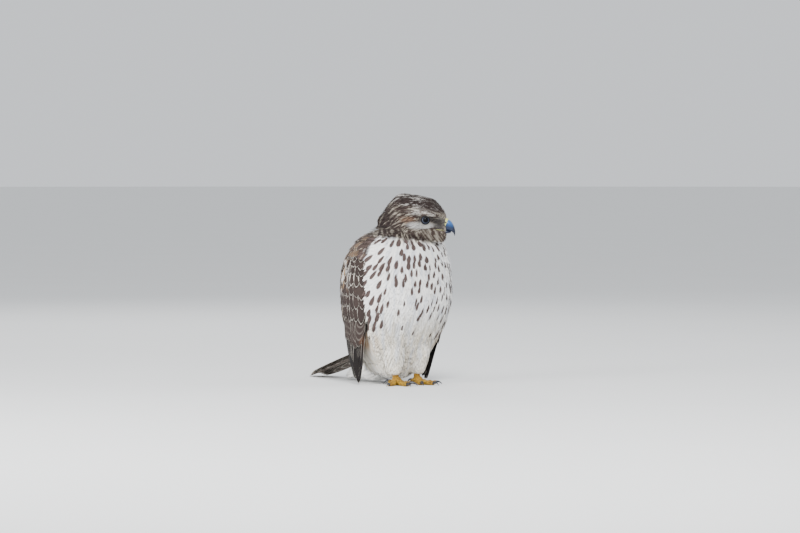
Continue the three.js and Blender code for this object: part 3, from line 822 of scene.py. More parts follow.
class Surface:
    """A form as something that a feather can be laid on."""

    def __init__(self, piece):
        mesh = piece.data
        mesh.calc_loop_triangles()
        corners = np.empty(len(mesh.loop_triangles) * 3, np.int32)
        mesh.loop_triangles.foreach_get("vertices", corners)
        points = points_of(piece)
        self.tree = BVHTree.FromPolygons(points.tolist(), corners.reshape(-1, 3).tolist())

    def nearest(self, points):
        spots, normals = np.empty_like(points), np.empty_like(points)
        for i, point in enumerate(points):
            spot, normal, _, _ = self.tree.find_nearest(Vector(point))
            spots[i], normals[i] = spot, normal
        return spots, normals


# Feathers

# Width along a vane from its root to its tip, as a share of the widest
BROAD = curve_through([(0, 0.35), (0.2, 0.75), (0.5, 1.0), (0.8, 0.95), (1, 0.72)], 1)
SLENDER = curve_through([(0, 0.4), (0.3, 0.85), (0.6, 1.0), (0.85, 0.75), (1, 0.3)], 1)

# Columns of a vane with a ridge, from its shaft out to its rim
RIDGE_COLUMNS = np.array([0.06, 0.32, 0.6, 0.83, 1.0])
# Height of the shaft's ridge, and its breadth as a share of half the vane
SHAFT_RIDGE = {"height": 0.28, "breadth": 0.09}
# How much thinner a vane gets at its rim and its tip
VANE_THIN = {"rim": 0.6, "tip": 0.55}


def vane_faces(columns, rows):
    """Corners of one closed thin vane. Its two faces share the rim."""
    upper = np.arange((columns + 1) * (rows + 1)).reshape(columns + 1, rows + 1)
    lower = upper.copy()
    inner = np.arange((columns - 1) * (rows - 1)).reshape(columns - 1, rows - 1)
    lower[1:-1, 1:-1] = upper.size + inner

    def quads(ids):
        return np.stack([ids[:-1, :-1], ids[1:, :-1], ids[1:, 1:], ids[:-1, 1:]], -1).reshape(-1, 4)

    return np.concatenate([quads(upper), quads(lower)[:, ::-1]])


def along_spine(values, where):
    """Values on each feather's spine, read between its stations. where is feather, column, row."""
    last = values.shape[1] - 1
    position = np.clip(where, 0, 1) * last
    k = np.minimum(position.astype(int), last - 1)
    t = (position - k)[..., None]
    pick = np.arange(len(values))[:, None, None]
    return values[pick, k] * (1 - t) + values[pick, k + 1] * t


def column_places(look):
    """Places across a vane, from -1 to 1, with narrow columns at the shaft if it has a ridge."""
    if look["ridge"]:
        return np.concatenate([-RIDGE_COLUMNS[::-1], [0.0], RIDGE_COLUMNS])
    return np.linspace(-1, 1, look["columns"] + 1)


def vane_rows(count, across, look):
    """Places along vanes at every column and row, with tips that are round and ragged."""
    ends = np.sqrt(1 - (1 - look["square"]) * np.abs(across) ** look["round"])[None, :]
    notch = look["rag"] * rng.random((count, len(across)))
    notch[:, ::2] *= 0.3
    ends = ends * (1 - notch)
    along = (np.linspace(0, 1, look["rows"] + 1) ** look["crowd"])[None, None, :]
    return along, along * ends[..., None]


def vane_relief(count, beside, wide, along, where, look):
    """How far a vane's face stands off its spine, by camber, waves and the shaft's ridge."""
    wave = look["wave"] * rng.standard_normal((count, beside.size))[..., None] * where**2
    droop = -look["camber"] * beside**2 * wide * 0.25
    if not look["ridge"]:
        return droop + wave
    ridge = SHAFT_RIDGE["height"] * np.exp(-((beside / SHAFT_RIDGE["breadth"]) ** 2)) * (1 - along) ** 0.5
    return droop + wave + ridge


def vane_points(spine, side, normal, width, look):
    """Points of closed feathers, each point's place across and along its feather, and their faces."""
    count = len(spine)
    across = column_places(look)
    along, where = vane_rows(count, across, look)
    beside = across[None, :, None]
    wide = look["outline"](where) * width[:, None, None] / 2
    relief = vane_relief(count, beside, wide, along, where, look)
    up = along_spine(normal, where)
    body = along_spine(spine, where) + along_spine(side, where) * (beside * wide)[..., None]
    body = body + up * relief[..., None]
    thick = look["thickness"] * (1 - VANE_THIN["rim"] * np.abs(beside)) * (1 - VANE_THIN["tip"] * along)
    top = body + up * thick[..., None] * 0.5
    bottom = body - up * thick[..., None] * 0.5
    rim = np.ones(where.shape[1:], bool)
    rim[1:-1, 1:-1] = False
    top[:, rim] = body[:, rim]
    inner = bottom[:, 1:-1, 1:-1]
    points = np.concatenate([top.reshape(count, -1, 3), inner.reshape(count, -1, 3)], axis=1)
    grids = np.broadcast_arrays(across[:, None], along[0])
    place = [np.concatenate([grid.ravel(), grid[1:-1, 1:-1].ravel()]) for grid in grids]
    return points, place, vane_faces(len(across) - 1, look["rows"])


def make_vanes(name, vanes, marks, patches, material, nodes=()):
    """One joined mesh of feathers with the values and the map that their material needs."""
    points, place, faces = vanes
    count, each = points.shape[:2]
    starts = (np.arange(count) * each)[:, None, None]
    piece = new_mesh(name, points.reshape(-1, 3), (faces[None] + starts).reshape(-1, 4))
    seed = np.repeat(rng.random(count), each)
    lay = np.stack([np.tile(place[0], count), np.tile(place[1], count), seed], 1)
    set_values(piece, "lay", "FLOAT_VECTOR", lay)
    for key, kind in (("base", "FLOAT_COLOR"), ("pattern", "FLOAT_VECTOR"), ("field", "FLOAT")):
        values = marks[key]
        set_values(piece, key, kind, np.repeat(values, each, axis=0) if len(values) == count else values)
    set_bake_map(piece, count, each, place, patches)
    return finished(piece, material, nodes)


def set_bake_map(piece, count, each, place, patches):
    """Each feather is one patch of the map, round a centre of its own."""
    centre, reach = patches
    unit_patch = np.stack([place[0] / 2, place[1] - 0.5], 1)
    uv = (centre[:, None, :] + unit_patch[None] * reach).reshape(-1, 2)
    mesh = piece.data
    corner = np.empty(len(mesh.loops), np.int32)
    mesh.loops.foreach_get("vertex_index", corner)
    layer = mesh.uv_layers.new(name="OFBake")
    layer.data.foreach_set("uv", uv[corner].astype(np.float32).ravel())


# Depth of a feather's root in the form, how soon its spine lifts, and how slowly it turns with
# the form under it
ROOT_DEPTH = 0.8
LIFT_CURVE = 0.65
TURN_HOLD = 0.35


def lay_on(surface, roots, flow, length, lift, stations):
    """Spines of feathers that follow the surface from their roots along the coat's lie, off the floor."""
    spot, normal = surface.nearest(roots)
    spine, normals, sides = [], [], []
    along = unit(flow - normal * (flow * normal).sum(-1, keepdims=True))
    for step in range(stations):
        t = step / (stations - 1)
        spine.append(spot + normal * (-ROOT_DEPTH + (lift + ROOT_DEPTH) * t**LIFT_CURVE)[:, None])
        normals.append(normal)
        sides.append(unit(np.cross(along, normal)))
        spot, near_normal = surface.nearest(spot + along * (length / (stations - 1))[:, None])
        normal = unit(normal * TURN_HOLD + near_normal * (1 - TURN_HOLD))
        along = unit(along - normal * (along * normal).sum(-1, keepdims=True))
    spine = np.stack(spine, 1)
    spine[..., 2] = np.maximum(spine[..., 2], FLOOR_GAP)
    return spine, np.stack(sides, 1), np.stack(normals, 1)


def outside(surface, points, depth):
    """Which points of a form aren't covered by another form, nor far off the joined surface."""
    spots, normals = surface.nearest(points)
    gap = ((points - spots) * normals).sum(-1)
    least, most = depth * 0.3, depth * 2.2 + 3
    return (gap > least) & (gap < most)


def spread_out(limits, spacing, jitter=0.3):
    """Staggered rows of places: the first value runs down the rows, the second round each row."""
    value, high = limits
    rows, odd = [], 0
    while value < high:
        down, round_count = spacing(value)
        turn = (np.arange(round_count) + 0.5 * odd + jitter * (rng.random(round_count) - 0.5)) / round_count
        rows.append(np.stack([value + down * jitter * (rng.random(round_count) - 0.5), turn % 1], 1))
        value += down
        odd = 1 - odd
    return np.concatenate(rows)


# Size of a coat feather's patch on the map, stations of its spine, and how much its lift differs
BAKE_PATCH = 0.003
COAT_STATIONS = 6
LIFT_SPREAD = 0.16


def grow_coat(name, surface, roots, patch, flow, size, colour, field, look, material):
    """One piece of the coat, as feathers laid over the skin. size holds length, width and lift."""
    count = len(roots)
    length, width, lift = [np.broadcast_to(np.asarray(value, float), count) for value in size]
    length = length * (1 + look["uneven"] * (rng.random(count) - 0.5))
    lift = lift * (1 + LIFT_SPREAD * (rng.random(count) - 0.5))
    flow = unit(flow) + look["stray"] * rng.standard_normal((count, 3))
    spine, side, normal = lay_on(surface, roots, flow, length, lift, COAT_STATIONS)
    vanes = vane_points(spine, side, normal, width, look)
    flat = vanes[0].reshape(-1, 3)
    pattern = np.tile([0.0, look["shaft"], look["edge"]], (count, 1))
    marks = {"base": colour(flat), "pattern": pattern, "field": field(flat)}
    return make_vanes(name, vanes, marks, (patch, BAKE_PATCH), material)


def in_square(a, b):
    """Places on the unwrapped form, kept off the edges of the map."""
    return np.stack([0.02 + 0.96 * np.clip(a, 0, 1), 0.02 + 0.96 * np.clip(b, 0, 1)], 1)


# Build of the feathers: cells across and along, how square and round the tip is, ragged tips,
# waves and camber, thickness, rows crowded to the tip, spread of length and lie, outline,
# a shaft with a ridge, and the widths of a shaft's streak and a pale edge
SOFT = {
    "columns": 6,
    "rows": 8,
    "square": 0.05,
    "round": 1.3,
    "rag": 0.12,
    "wave": 0.1,
    "camber": 0.6,
    "thickness": 0.2,
    "crowd": 0.7,
    "uneven": 0.1,
    "stray": 0.02,
    "outline": SLENDER,
    "ridge": False,
    "shaft": 0.0,
    "edge": 0.0,
}
HEAD_LOOK = dict(SOFT, columns=4, rows=4, rag=0.2, wave=0.08, thickness=0.22, uneven=0.45, stray=0.15)
FLUFF = dict(SOFT, rows=5, wave=0.06, camber=0.4, stray=0.03)
MANTLE = dict(
    SOFT,
    columns=8,
    square=0.5,
    round=2.4,
    rag=0.06,
    camber=0.5,
    thickness=0.4,
    outline=BROAD,
    shaft=0.04,
    edge=0.2,
)

# Sizes of the coat's feathers as pairs of place and size. The place is the height, or on the head
# how far forward it lies, and under the tail how far back, with the lift there by height
COAT_LENGTH = {
    "body": [(10, 24), (60, 38), (140, 38), (210, 32), (250, 23), (286, 16)],
    "mantle": [(64, 34), (120, 40), (264, 26)],
    "head": [(-44, 22), (-10, 19), (20, 14), (45, 9), (58, 6), (70, 3.8)],
    "thigh": [(18, 12), (40, 24), (110, 30)],
    "undertail": [(56, 34), (120, 34), (174, 18)],
}
COAT_WIDTH = {
    "body": [(10, 7), (140, 8), (210, 7.5), (250, 7), (286, 5.5)],
    "mantle": [(64, 17), (120, 19), (264, 13)],
    "head": [(-44, 4.6), (0, 3.8), (40, 3.0), (70, 2.2)],
    "thigh": 7.0,
    "undertail": 8.0,
}
COAT_LIFT = {
    "body": [(10, 2.8), (60, 3.8), (120, 5.0), (230, 4.8), (286, 3.6)],
    "mantle": 5.0,
    "head": [(-44, 6.8), (10, 5.2), (40, 3.2), (70, 1.6)],
    "thigh": 3.2,
    "undertail": [(2, 0.6), (16, 6.5)],
}
# Gap from feather to feather, on the head by how far forward it lies
COAT_PITCH = {
    "body": 4.4,
    "mantle": 10.5,
    "head": [(-40, 3.0), (0, 2.6), (40, 2.2), (70, 1.8)],
    "thigh": 4.2,
    "undertail": 5.0,
}
# Lowest and highest roots of each piece of the body's coat
BODY_SHARES = {
    "coat_belly": (-math.inf, 104),
    "coat_breast_low": (104, 172),
    "coat_breast": (172, 226),
    "coat_neck": (226, math.inf),
}
# Feathers that overlap the wing's front edge are shorter and stand out more
BY_WING = {"shorter": 0.42, "lift": 1.2}
# How the lie of the head's feathers bends down towards the nape
LIE_BEND = 0.0065


def body_round(pitch):
    def spacing(height):
        half, front, back, _ = [float(column(height)) for column in body_columns]
        return pitch * 0.95, max(10, int(math.pi * (half + (front + back) / 2) / pitch))

    return spacing


def body_flow(height, turn):
    """Lie of the body's feathers: down, and fanned out from the neck."""
    slant = coat_slant(height, np.degrees(turn)) * (np.abs(turn) < math.radians(100))
    ahead = body_point(height, turn + 0.01, 0.0, 0.0) - body_point(height, turn, 0.0, 0.0)
    down = body_point(height - 1.0, turn, 0.0, 0.0) - body_point(height, turn, 0.0, 0.0)
    return unit(down) * np.cos(slant)[:, None] + unit(ahead) * np.sin(slant)[:, None]


def clear_of_wing(height, turn):
    """Places of the body that neither a folded wing nor the mantle covers."""
    side = np.abs(np.degrees(turn))
    beside_wing = (height > 40) & (height < 240)
    under_wing = (side > wing_front(height) - 5) & (side < wing_rear(height) - 4) & beside_wing
    ahead_of_mantle = (side < np.where(height > 232, 82, 104)) | (height > 258) | (height < 66)
    return ~under_wing & ahead_of_mantle


def make_body_coat(surface, material):
    places = spread_out((10, 286), body_round(COAT_PITCH["body"]))
    height, turn = places[:, 0], (places[:, 1] - 0.5) * FULL_TURN
    roots = body_point(height, turn, 0.0, 0.0)
    keep = clear_of_wing(height, turn) & outside(surface, roots, COAT["body"])
    height, turn, roots = height[keep], turn[keep], roots[keep]
    for name, (low, high) in BODY_SHARES.items():
        share = (height >= low) & (height < high)
        look = FLUFF if name == "coat_belly" else SOFT
        make_body_share(name, surface, roots[share], height[share], turn[share], look, material)


def make_body_share(name, surface, roots, height, turn, look, material):
    front = wing_front(height)
    by_wing = band(np.abs(np.degrees(turn)), front - 13, front + 9, 3) * (height < 232) * (height > 50)
    length = graded(COAT_LENGTH["body"], height) * (1 - BY_WING["shorter"] * by_wing)
    width = graded(COAT_WIDTH["body"], height)
    lift = graded(COAT_LIFT["body"], height) + BY_WING["lift"] * by_wing
    size = (length, width, lift)
    patch = in_square(turn / FULL_TURN + 0.5, height / 300)
    flow = body_flow(height, turn)
    grow_coat(name, surface, roots, patch, flow, size, coat_colour, breast_field, look, material)


def breast_field(points):
    """Drops of the breast, kept off the neck."""
    return drop_field(points) - 4 * neck_share(points)


def make_mantle(surface, material):
    """Bigger feathers of the back, between the wings."""
    places = spread_out((64, 264), body_round(COAT_PITCH["mantle"]))
    height, turn = places[:, 0], (places[:, 1] - 0.5) * FULL_TURN
    side = np.abs(np.degrees(turn))
    roots = body_point(height, turn, 0.0, 0.0)
    keep = (side > np.where(height > 236, 76, 118)) & outside(surface, roots, COAT["body"])
    height, turn, roots = height[keep], turn[keep], roots[keep]
    patch = in_square(turn / FULL_TURN + 0.5, height / 300)
    flow = body_flow(height, turn)
    size = (graded(COAT_LENGTH["mantle"], height), graded(COAT_WIDTH["mantle"], height), COAT_LIFT["mantle"])

    def colour(points):
        count = len(roots)
        each = blend(DARK_BROWN, BROWN, rng.random(count))
        each = blend(each, BUFF, 0.16 * (rng.random(count) > 0.85))
        return np.repeat(each, len(points) // count, axis=0)

    grow_coat("mantle", surface, roots, patch, flow, size, colour, no_drops, MANTLE, material)


def head_round(forward):
    """Step along the head and the count of feathers in a ring round it."""
    half, up, down, _ = [float(column(forward)) for column in head_columns]
    pitch = graded(COAT_PITCH["head"], forward)
    return pitch, max(8, int(math.pi * (half + (up + down) / 2) / pitch))


def head_flow(roots, forward):
    """Lie of the head's feathers: back from the bill, and straight down on the cheeks."""
    flow = unit(roots - on_head(0, 82, 284)) + np.array([0, 0, -0.1]) - stack(0, 0, LIE_BEND * (74 - forward))
    low = smooth_step(282, 264, roots[:, 2])[:, None] * smooth_step(64, 40, forward)[:, None]
    return flow * (1 - low * 0.6) + np.array([0, 0, -1.0]) * low * 0.6


def make_head_coat(surface, material):
    places = spread_out((-44, 73), head_round)
    forward, angle = places[:, 0], places[:, 1] * FULL_TURN
    roots = head_point(forward, angle, 0.0)
    keep = outside(surface, roots, COAT["head"]) & ~on_face(roots)
    forward, angle, roots = forward[keep], angle[keep], roots[keep]
    flow = head_flow(roots, forward)
    eye_gap = np.min([np.linalg.norm(roots - eye_centre(side), axis=1) for side, _ in SIDES], axis=0)
    length = graded(COAT_LENGTH["head"], forward) * (0.4 + 0.6 * smooth_step(12, 22, eye_gap))
    width = graded(COAT_WIDTH["head"], forward)
    lift = graded(COAT_LIFT["head"], forward)
    for name, share in {"coat_nape": forward < 12, "coat_face": forward >= 12}.items():
        patch = in_square((forward[share] + 46) / 122, angle[share] / FULL_TURN)
        size = (length[share], width[share], lift[share])
        spots, lie = roots[share], flow[share]
        grow_coat(name, surface, spots, patch, lie, size, coat_colour, no_drops, HEAD_LOOK, material)


# Reach of the gap round each eye, half height of the gap at the mouth, and the cere's place
EYE_GAP = 9.6
MOUTH_GAP = 1.5
CERE_GAP = {"half": 8.6, "low": 263, "high": 293, "back": 69}


def on_face(roots):
    """Places that the eyes, the mouth and the bill take."""
    taken = np.zeros(len(roots), bool)
    for side, _ in SIDES:
        offset = roots - eye_centre(side)
        ahead = offset @ eye_look(side)
        beside = np.linalg.norm(offset - ahead[:, None] * eye_look(side), axis=1)
        taken |= (beside < EYE_GAP) & (ahead > 0)
    side, forward, height = head_place(roots)
    mouth = GAPE["back_z"] + (forward - GAPE["back"]) * (GAPE["front_z"] - GAPE["back_z"]) / 20
    taken |= (np.abs(height - mouth) < MOUTH_GAP) & (forward > GAPE["back"] - 1)
    on_cere = (height > CERE_GAP["low"]) & (height < CERE_GAP["high"]) & (forward > CERE_GAP["back"])
    return taken | (on_cere & (np.abs(side) < CERE_GAP["half"]))


def make_thigh_coat(surface, side, word, material):
    places = spread_out((20, 112), lambda height: (COAT_PITCH["thigh"], 32))
    height, turn = places[:, 0], places[:, 1] * FULL_TURN
    roots = thigh_point(side, height, turn, 0.0)
    keep = outside(surface, roots, COAT["thigh"])
    height, turn, roots = height[keep], turn[keep], roots[keep]
    flow = np.tile([0.0, 0.0, -1.0], (len(roots), 1))
    patch = in_square(turn / FULL_TURN, height / 120)
    size = (graded(COAT_LENGTH["thigh"], height), COAT_WIDTH["thigh"], COAT_LIFT["thigh"])
    name = f"coat_thigh_{word}"
    grow_coat(name, surface, roots, patch, flow, size, thigh_colour, no_drops, FLUFF, material)


def make_undertail_coat(surface, material):
    places = spread_out((56, 174), lambda back: (COAT_PITCH["undertail"], 30))
    back, angle = places[:, 0], places[:, 1] * FULL_TURN
    roots = undertail_point(back, angle, 0.0)
    keep = outside(surface, roots, COAT["undertail"]) & (roots[:, 2] > 1.5)
    back, angle, roots = back[keep], angle[keep], roots[keep]
    flow = np.tile([0.0, 1.0, -0.25], (len(roots), 1))
    patch = in_square((back - 50) / 130, angle / FULL_TURN)
    lift = graded(COAT_LIFT["undertail"], roots[:, 2])
    size = (graded(COAT_LENGTH["undertail"], back), COAT_WIDTH["undertail"], lift)
    grow_coat("coat_undertail", surface, roots, patch, flow, size, plain_white, no_drops, FLUFF, material)


# Wings

# Height, then how far the wing's core stands out from the form that the wing follows
core_face = curve_through([(50, -4.4), (90, -3.6), (140, -2.4), (175, -1.4), (205, -0.8), (240, -2)], 1)

# The core's top and its run down, how far it stays inside the wing's edges, and its depth
WING_CORE = {"top": 236, "run": 172, "inset": 3, "under": 0.8, "over_bed": 2.2}
WARM_BUFF = shade(176, 116, 62)


def wing_point(side, height, degrees, lift):
    point = shell_point(wing_columns, height, np.radians(degrees), lift)
    point[..., 0] *= -side
    return point


def make_wing_core(side, word, material):
    """The fleshy wing under its feathers."""

    def place(row, turn):
        height = WING_CORE["top"] - row * WING_CORE["run"]
        middle = (wing_front(height) + wing_rear(height)) / 2
        reach = (wing_rear(height) - wing_front(height)) / 2 - WING_CORE["inset"]
        size = np.sqrt(np.clip(1 - (2 * row - 1) ** 6, 0.01, 1))
        angle = turn * FULL_TURN
        outer = core_face(height) - WING_CORE["under"]
        inner = -WING_BED + WING_CORE["over_bed"]
        lift = (outer + inner) / 2 + (outer - inner) / 2 * np.sin(angle)
        return wing_point(side, height, middle + reach * size * np.cos(angle), lift)

    piece = new_mesh(f"wing_core_{word}", *loft_points(rows=40, ring=48, place=place))
    set_values(piece, "base", "FLOAT_COLOR", np.tile(DARK_BROWN, (len(piece.data.vertices), 1)))
    return finished(piece, material)


# Tiers of wing feathers. root and tip hold degrees and height of the first and of the last feather
# of the tier. size holds the width and how far root and tip stand off the core
FLIGHT_TIERS = [
    {"count": 8, "root": (67, 122, 106, 134), "tip": (84, 5, 112, 18), "size": (22, -1.6, 0.6)},
    {"count": 3, "root": (104, 136, 116, 140), "tip": (112, 26, 118, 44), "size": (22, -1.6, 1.0)},
    {"count": 13, "root": (70, 150, 147, 166), "tip": (74, 66, 140, 92), "size": (20, -1.6, 1.8)},
    {"count": 5, "root": (128, 172, 150, 176), "tip": (128, 84, 149, 98), "size": (23, -1.6, 2.4)},
]
COVERT_TIERS = [
    {"count": 12, "root": (70, 180, 150, 188), "tip": (71, 108, 151, 126), "size": (19, -1.5, 2.1)},
    {"count": 12, "root": (69, 194, 151, 200), "tip": (69, 130, 152, 144), "size": (18, -1.4, 2.3)},
    {"count": 12, "root": (70, 209, 150, 212), "tip": (69, 152, 152, 162), "size": (18, -1.4, 2.5)},
    {"count": 12, "root": (71, 221, 148, 222), "tip": (69, 172, 151, 180), "size": (17, -1.3, 2.6)},
    {"count": 12, "root": (73, 231, 145, 231), "tip": (69, 189, 149, 197), "size": (16, -1.3, 2.6)},
    {"count": 12, "root": (76, 239, 142, 238), "tip": (71, 204, 147, 212), "size": (15, -1.2, 2.5)},
    {"count": 11, "root": (82, 246, 138, 244), "tip": (75, 218, 144, 224), "size": (14, -1.2, 2.3)},
]
SCAPULAR_TIERS = [
    {"count": 5, "root": (134, 214, 154, 206), "tip": (131, 146, 153, 124), "size": (23, -1.0, 3.6)},
    {"count": 6, "root": (120, 230, 153, 220), "tip": (123, 172, 152, 152), "size": (22, -0.8, 4.0)},
    {"count": 6, "root": (108, 242, 152, 236), "tip": (112, 198, 151, 178), "size": (20, -0.6, 4.2)},
    {"count": 6, "root": (98, 250, 150, 248), "tip": (102, 218, 150, 204), "size": (18, -0.4, 4.0)},
]
# Colour, pale edge and bars of each tier
FLIGHT_PAINT = [
    (BLACKISH * 0.6, 0.05, 0.0),
    (BLACKISH * 0.7, 0.06, 0.1),
    (DARK_BROWN, 0.05, 0.2),
    (DARK_BROWN, 0.08, 0.2),
]
COVERT_PAINT = [(DARK_BROWN, 0.17, 0.0)] * 3 + [(DARK_BROWN * 0.8, 0.25, 0.0)] * 4
SCAPULAR_PAINT = [(DARK_BROWN, 0.16, 0.0)] * 4
FLIGHT = {
    "ridge": True,
    "outline": BROAD,
    "thickness": 0.7,
    "rows": 14,
    "square": 0.42,
    "round": 3.0,
    "rag": 0.012,
    "wave": 0.03,
    "camber": 0.35,
    "crowd": 0.85,
}
COVERT = dict(FLIGHT, rows=9, round=2.4, rag=0.03, wave=0.06, camber=0.45, thickness=0.5)
# Stations of a long feather's spine, how far its tip strays in degrees and height, how far the
# feathers roll over each other in degrees, and the breadth of a shaft's streak
LONG_STATIONS = 14
TIP_STRAY = {"degrees": 4.0, "height": 8.0}
FEATHER_ROLL = 3.0
WING_SHAFT = 0.035


def tier_spines(side, tier):
    """Spines of one tier, each with the way across it and out of it."""
    _, low, high = tier["size"]
    count = tier["count"]
    share = np.linspace(0, 1, count)[:, None]
    t = np.linspace(0, 1, LONG_STATIONS)[None, :]
    root, tip = tier["root"], tier["tip"]
    root_turn = root[0] + (root[2] - root[0]) * share
    tip_turn = tip[0] + (tip[2] - tip[0]) * share + TIP_STRAY["degrees"] * (rng.random((count, 1)) - 0.5)
    root_height = root[1] + (root[3] - root[1]) * share
    tip_height = tip[1] + (tip[3] - tip[1]) * share + TIP_STRAY["height"] * (rng.random((count, 1)) - 0.5)
    degrees = root_turn + (tip_turn - root_turn) * t
    height = np.clip(root_height + (tip_height - root_height) * t, FLOOR_GAP, None)
    rise = core_face(height) + low + (high - low) * t
    spine = wing_point(side, height, degrees, rise)
    across = unit(wing_point(side, height, degrees + 0.5, rise) - spine)
    along = unit(np.gradient(spine, axis=1))
    out = unit(spine - wing_point(side, height, degrees, rise - 1))
    roll = math.radians(FEATHER_ROLL)
    across = unit(across * math.cos(roll) + out * math.sin(roll))
    normal = unit(np.cross(along, across))
    return spine, across, normal * np.sign((normal * out).sum(-1, keepdims=True))


def wing_tint(colour, points, own):
    """Buff patch at the folded wing's front and pale places on the shoulder. own differs by feather."""
    degrees, height = np.abs(body_turn(points)), points[:, 2]
    spotty = soft_noise(degrees * 0.22, height * 0.12) + 0.3 * (own - 0.5)
    buff = band(degrees, 56, 74, 4) * band(height, 54, 82, 5)
    colour = blend(colour, WARM_BUFF, buff * 0.75 * smooth_step(0.3, 0.6, spotty))
    shoulder = band(height, 160, 236, 8) * smooth_step(88, 112, degrees) * smooth_step(0.56, 0.62, spotty)
    return blend(colour, blend(BUFF, WHITE, smooth_step(0.68, 0.74, spotty)), shoulder * 0.75)


def make_wing_piece(name, side, tiers, paints, look, material, nodes=()):
    """Tiers of feathers that share a build, joined in one mesh."""
    laid = [tier_spines(side, tier) for tier in tiers]
    spine, across, normal = [np.concatenate([tier[i] for tier in laid]) for i in range(3)]
    counts = [tier["count"] for tier in tiers]
    width = np.repeat([float(tier["size"][0]) for tier in tiers], counts)
    vanes = vane_points(spine, across, normal, width, look)
    marks = wing_marks(vanes[0], paints, counts)
    return make_vanes(name, vanes, marks, cell_patches(len(spine)), material, nodes)


def wing_marks(points, paints, counts):
    """Colour, bars, shaft and edge of each feather, a little different from one to the next."""
    count, each = points.shape[:2]
    base = np.repeat(np.array([paint[0] for paint in paints]), counts, axis=0)
    base = blend(base, BROWN, 0.2 * rng.random(count) * (base[:, 0] > 0.02))
    edge = np.repeat([paint[1] for paint in paints], counts) * (0.7 + 0.6 * rng.random(count))
    bars = np.repeat([paint[2] for paint in paints], counts)
    own = np.repeat(rng.random(count), each)
    colour = wing_tint(np.repeat(base, each, axis=0), points.reshape(-1, 3), own)
    pattern = np.stack([bars, np.full(count, WING_SHAFT), edge], 1)
    return {"base": colour, "pattern": pattern, "field": np.full(count, NO_DROP)}


def cell_patches(count, across=7):
    """A cell of the map for each long feather, so that its bars and edges keep their places."""
    fill = 0.86
    index = np.arange(count)
    down = math.ceil(count / across)
    centre = np.stack([(index % across + 0.5) / across, (index // across + 0.5) / down], 1)
    return centre, np.array([fill / across, fill / down])


def make_wing(side, word, material, core_material):
    make_wing_core(side, word, core_material)
    node = [f"wing_{word}"]
    make_wing_piece(f"wing_flight_{word}", side, FLIGHT_TIERS, FLIGHT_PAINT, FLIGHT, material, node)
    make_wing_piece(f"wing_coverts_{word}", side, COVERT_TIERS, COVERT_PAINT, COVERT, material)
    make_wing_piece(f"wing_scapulars_{word}", side, SCAPULAR_TIERS, SCAPULAR_PAINT, COVERT, material)


# Tail

TAIL_SLOPE = math.asin((TAIL_ROOT[1] - TAIL_TIP_HEIGHT) / TAIL_LENGTH)
TAIL_ARCH = 260
TAIL_FLOOR_GAP = 0.7
TAIL_PAIRS = 6
TAIL_LOOK = dict(FLIGHT, rows=18, square=0.5, thickness=0.8)
# Width of the feathers, and their bars, shaft's streak and pale edge
TAIL_WIDTH = 23.0
TAIL_PATTERN = [0.8, 0.03, 0.07]
TAIL_COVERT_WIDTH = 16.0
TAIL_COVERT_PATTERN = [0.0, 0.03, 0.14]
# Rows of feathers over the tail's root: where they start and end, their count, and their rise
TAIL_COVERTS = [(-14, 62, 7, 1.6), (-22, 44, 8, 3.4), (-30, 26, 8, 5.2)]


def tail_point(along, across, lift):
    """Point of the arched tail, which slopes from its root down to the floor."""
    arch = across * across / TAIL_ARCH
    return stack(
        across,
        TAIL_ROOT[0] + along * math.cos(TAIL_SLOPE) + lift * math.sin(TAIL_SLOPE),
        TAIL_ROOT[1] - along * math.sin(TAIL_SLOPE) + lift * math.cos(TAIL_SLOPE) - arch,
    )


def tail_spines(start, end, root_side, tip_side, level, rise):
    t = np.linspace(0, 1, LONG_STATIONS)[None, :]
    along = start[:, None] + (end - start)[:, None] * t
    across = root_side[:, None] + (tip_side - root_side)[:, None] * t
    lift = level[:, None] + rise[:, None] * smooth_step(0, 0.6, t)
    spine = tail_point(along, across, lift)
    spine[..., 2] = np.maximum(spine[..., 2], TAIL_FLOOR_GAP)
    beside = unit(tail_point(along, across + 0.5, lift) - tail_point(along, across - 0.5, lift))
    ahead = unit(np.gradient(spine, axis=1))
    return spine, beside, unit(np.cross(beside, ahead))


def make_tail_vanes(name, spines, width, look, base, pattern, material, nodes=()):
    count = len(base)
    vanes = vane_points(*spines, np.full(count, width), look)
    marks = {"base": base, "pattern": np.tile(pattern, (count, 1)), "field": np.full(count, NO_DROP)}
    return make_vanes(name, vanes, marks, cell_patches(count, 4), material, nodes)


def make_tail(material):
    """Six pairs of feathers, stacked from the middle pair outwards."""
    count = 2 * TAIL_PAIRS
    pair = np.repeat(np.arange(TAIL_PAIRS), 2)
    side = np.tile([-1.0, 1.0], TAIL_PAIRS)
    level = -1.7 * (pair + np.where(side > 0, 0.5, 0.0))
    end = TAIL_LENGTH - 2.2 * pair
    root_side, tip_side = side * (1 + 1.9 * pair), side * (1.8 + 3.1 * pair)
    spines = tail_spines(np.full(count, 2.0), end, root_side, tip_side, level, level * 0)
    base = blend(TAIL_GREY, BROWN, rng.random(count) * 0.5)
    make_tail_vanes("tail_feathers", spines, TAIL_WIDTH, TAIL_LOOK, base, TAIL_PATTERN, material, ["tail"])
    for number, row in enumerate(TAIL_COVERTS, 1):
        make_tail_coverts(f"tail_coverts_{number}", row, material)


def make_tail_coverts(name, row, material):
    start, end, count, rise = row
    spots = np.linspace(-1, 1, count)
    ends = end + 6 * rng.random(count) - 10 * spots**2
    level, up = np.full(count, -2.0), np.full(count, rise + 1.2)
    spines = tail_spines(np.full(count, float(start)), ends, spots * 14, spots * 21, level, up)
    base = blend(DARK_BROWN, BROWN, rng.random(count))
    make_tail_vanes(name, spines, TAIL_COVERT_WIDTH, COVERT, base, TAIL_COVERT_PATTERN, material)


# Bill, eyes and feet

BILL_ROUNDNESS = 0.86
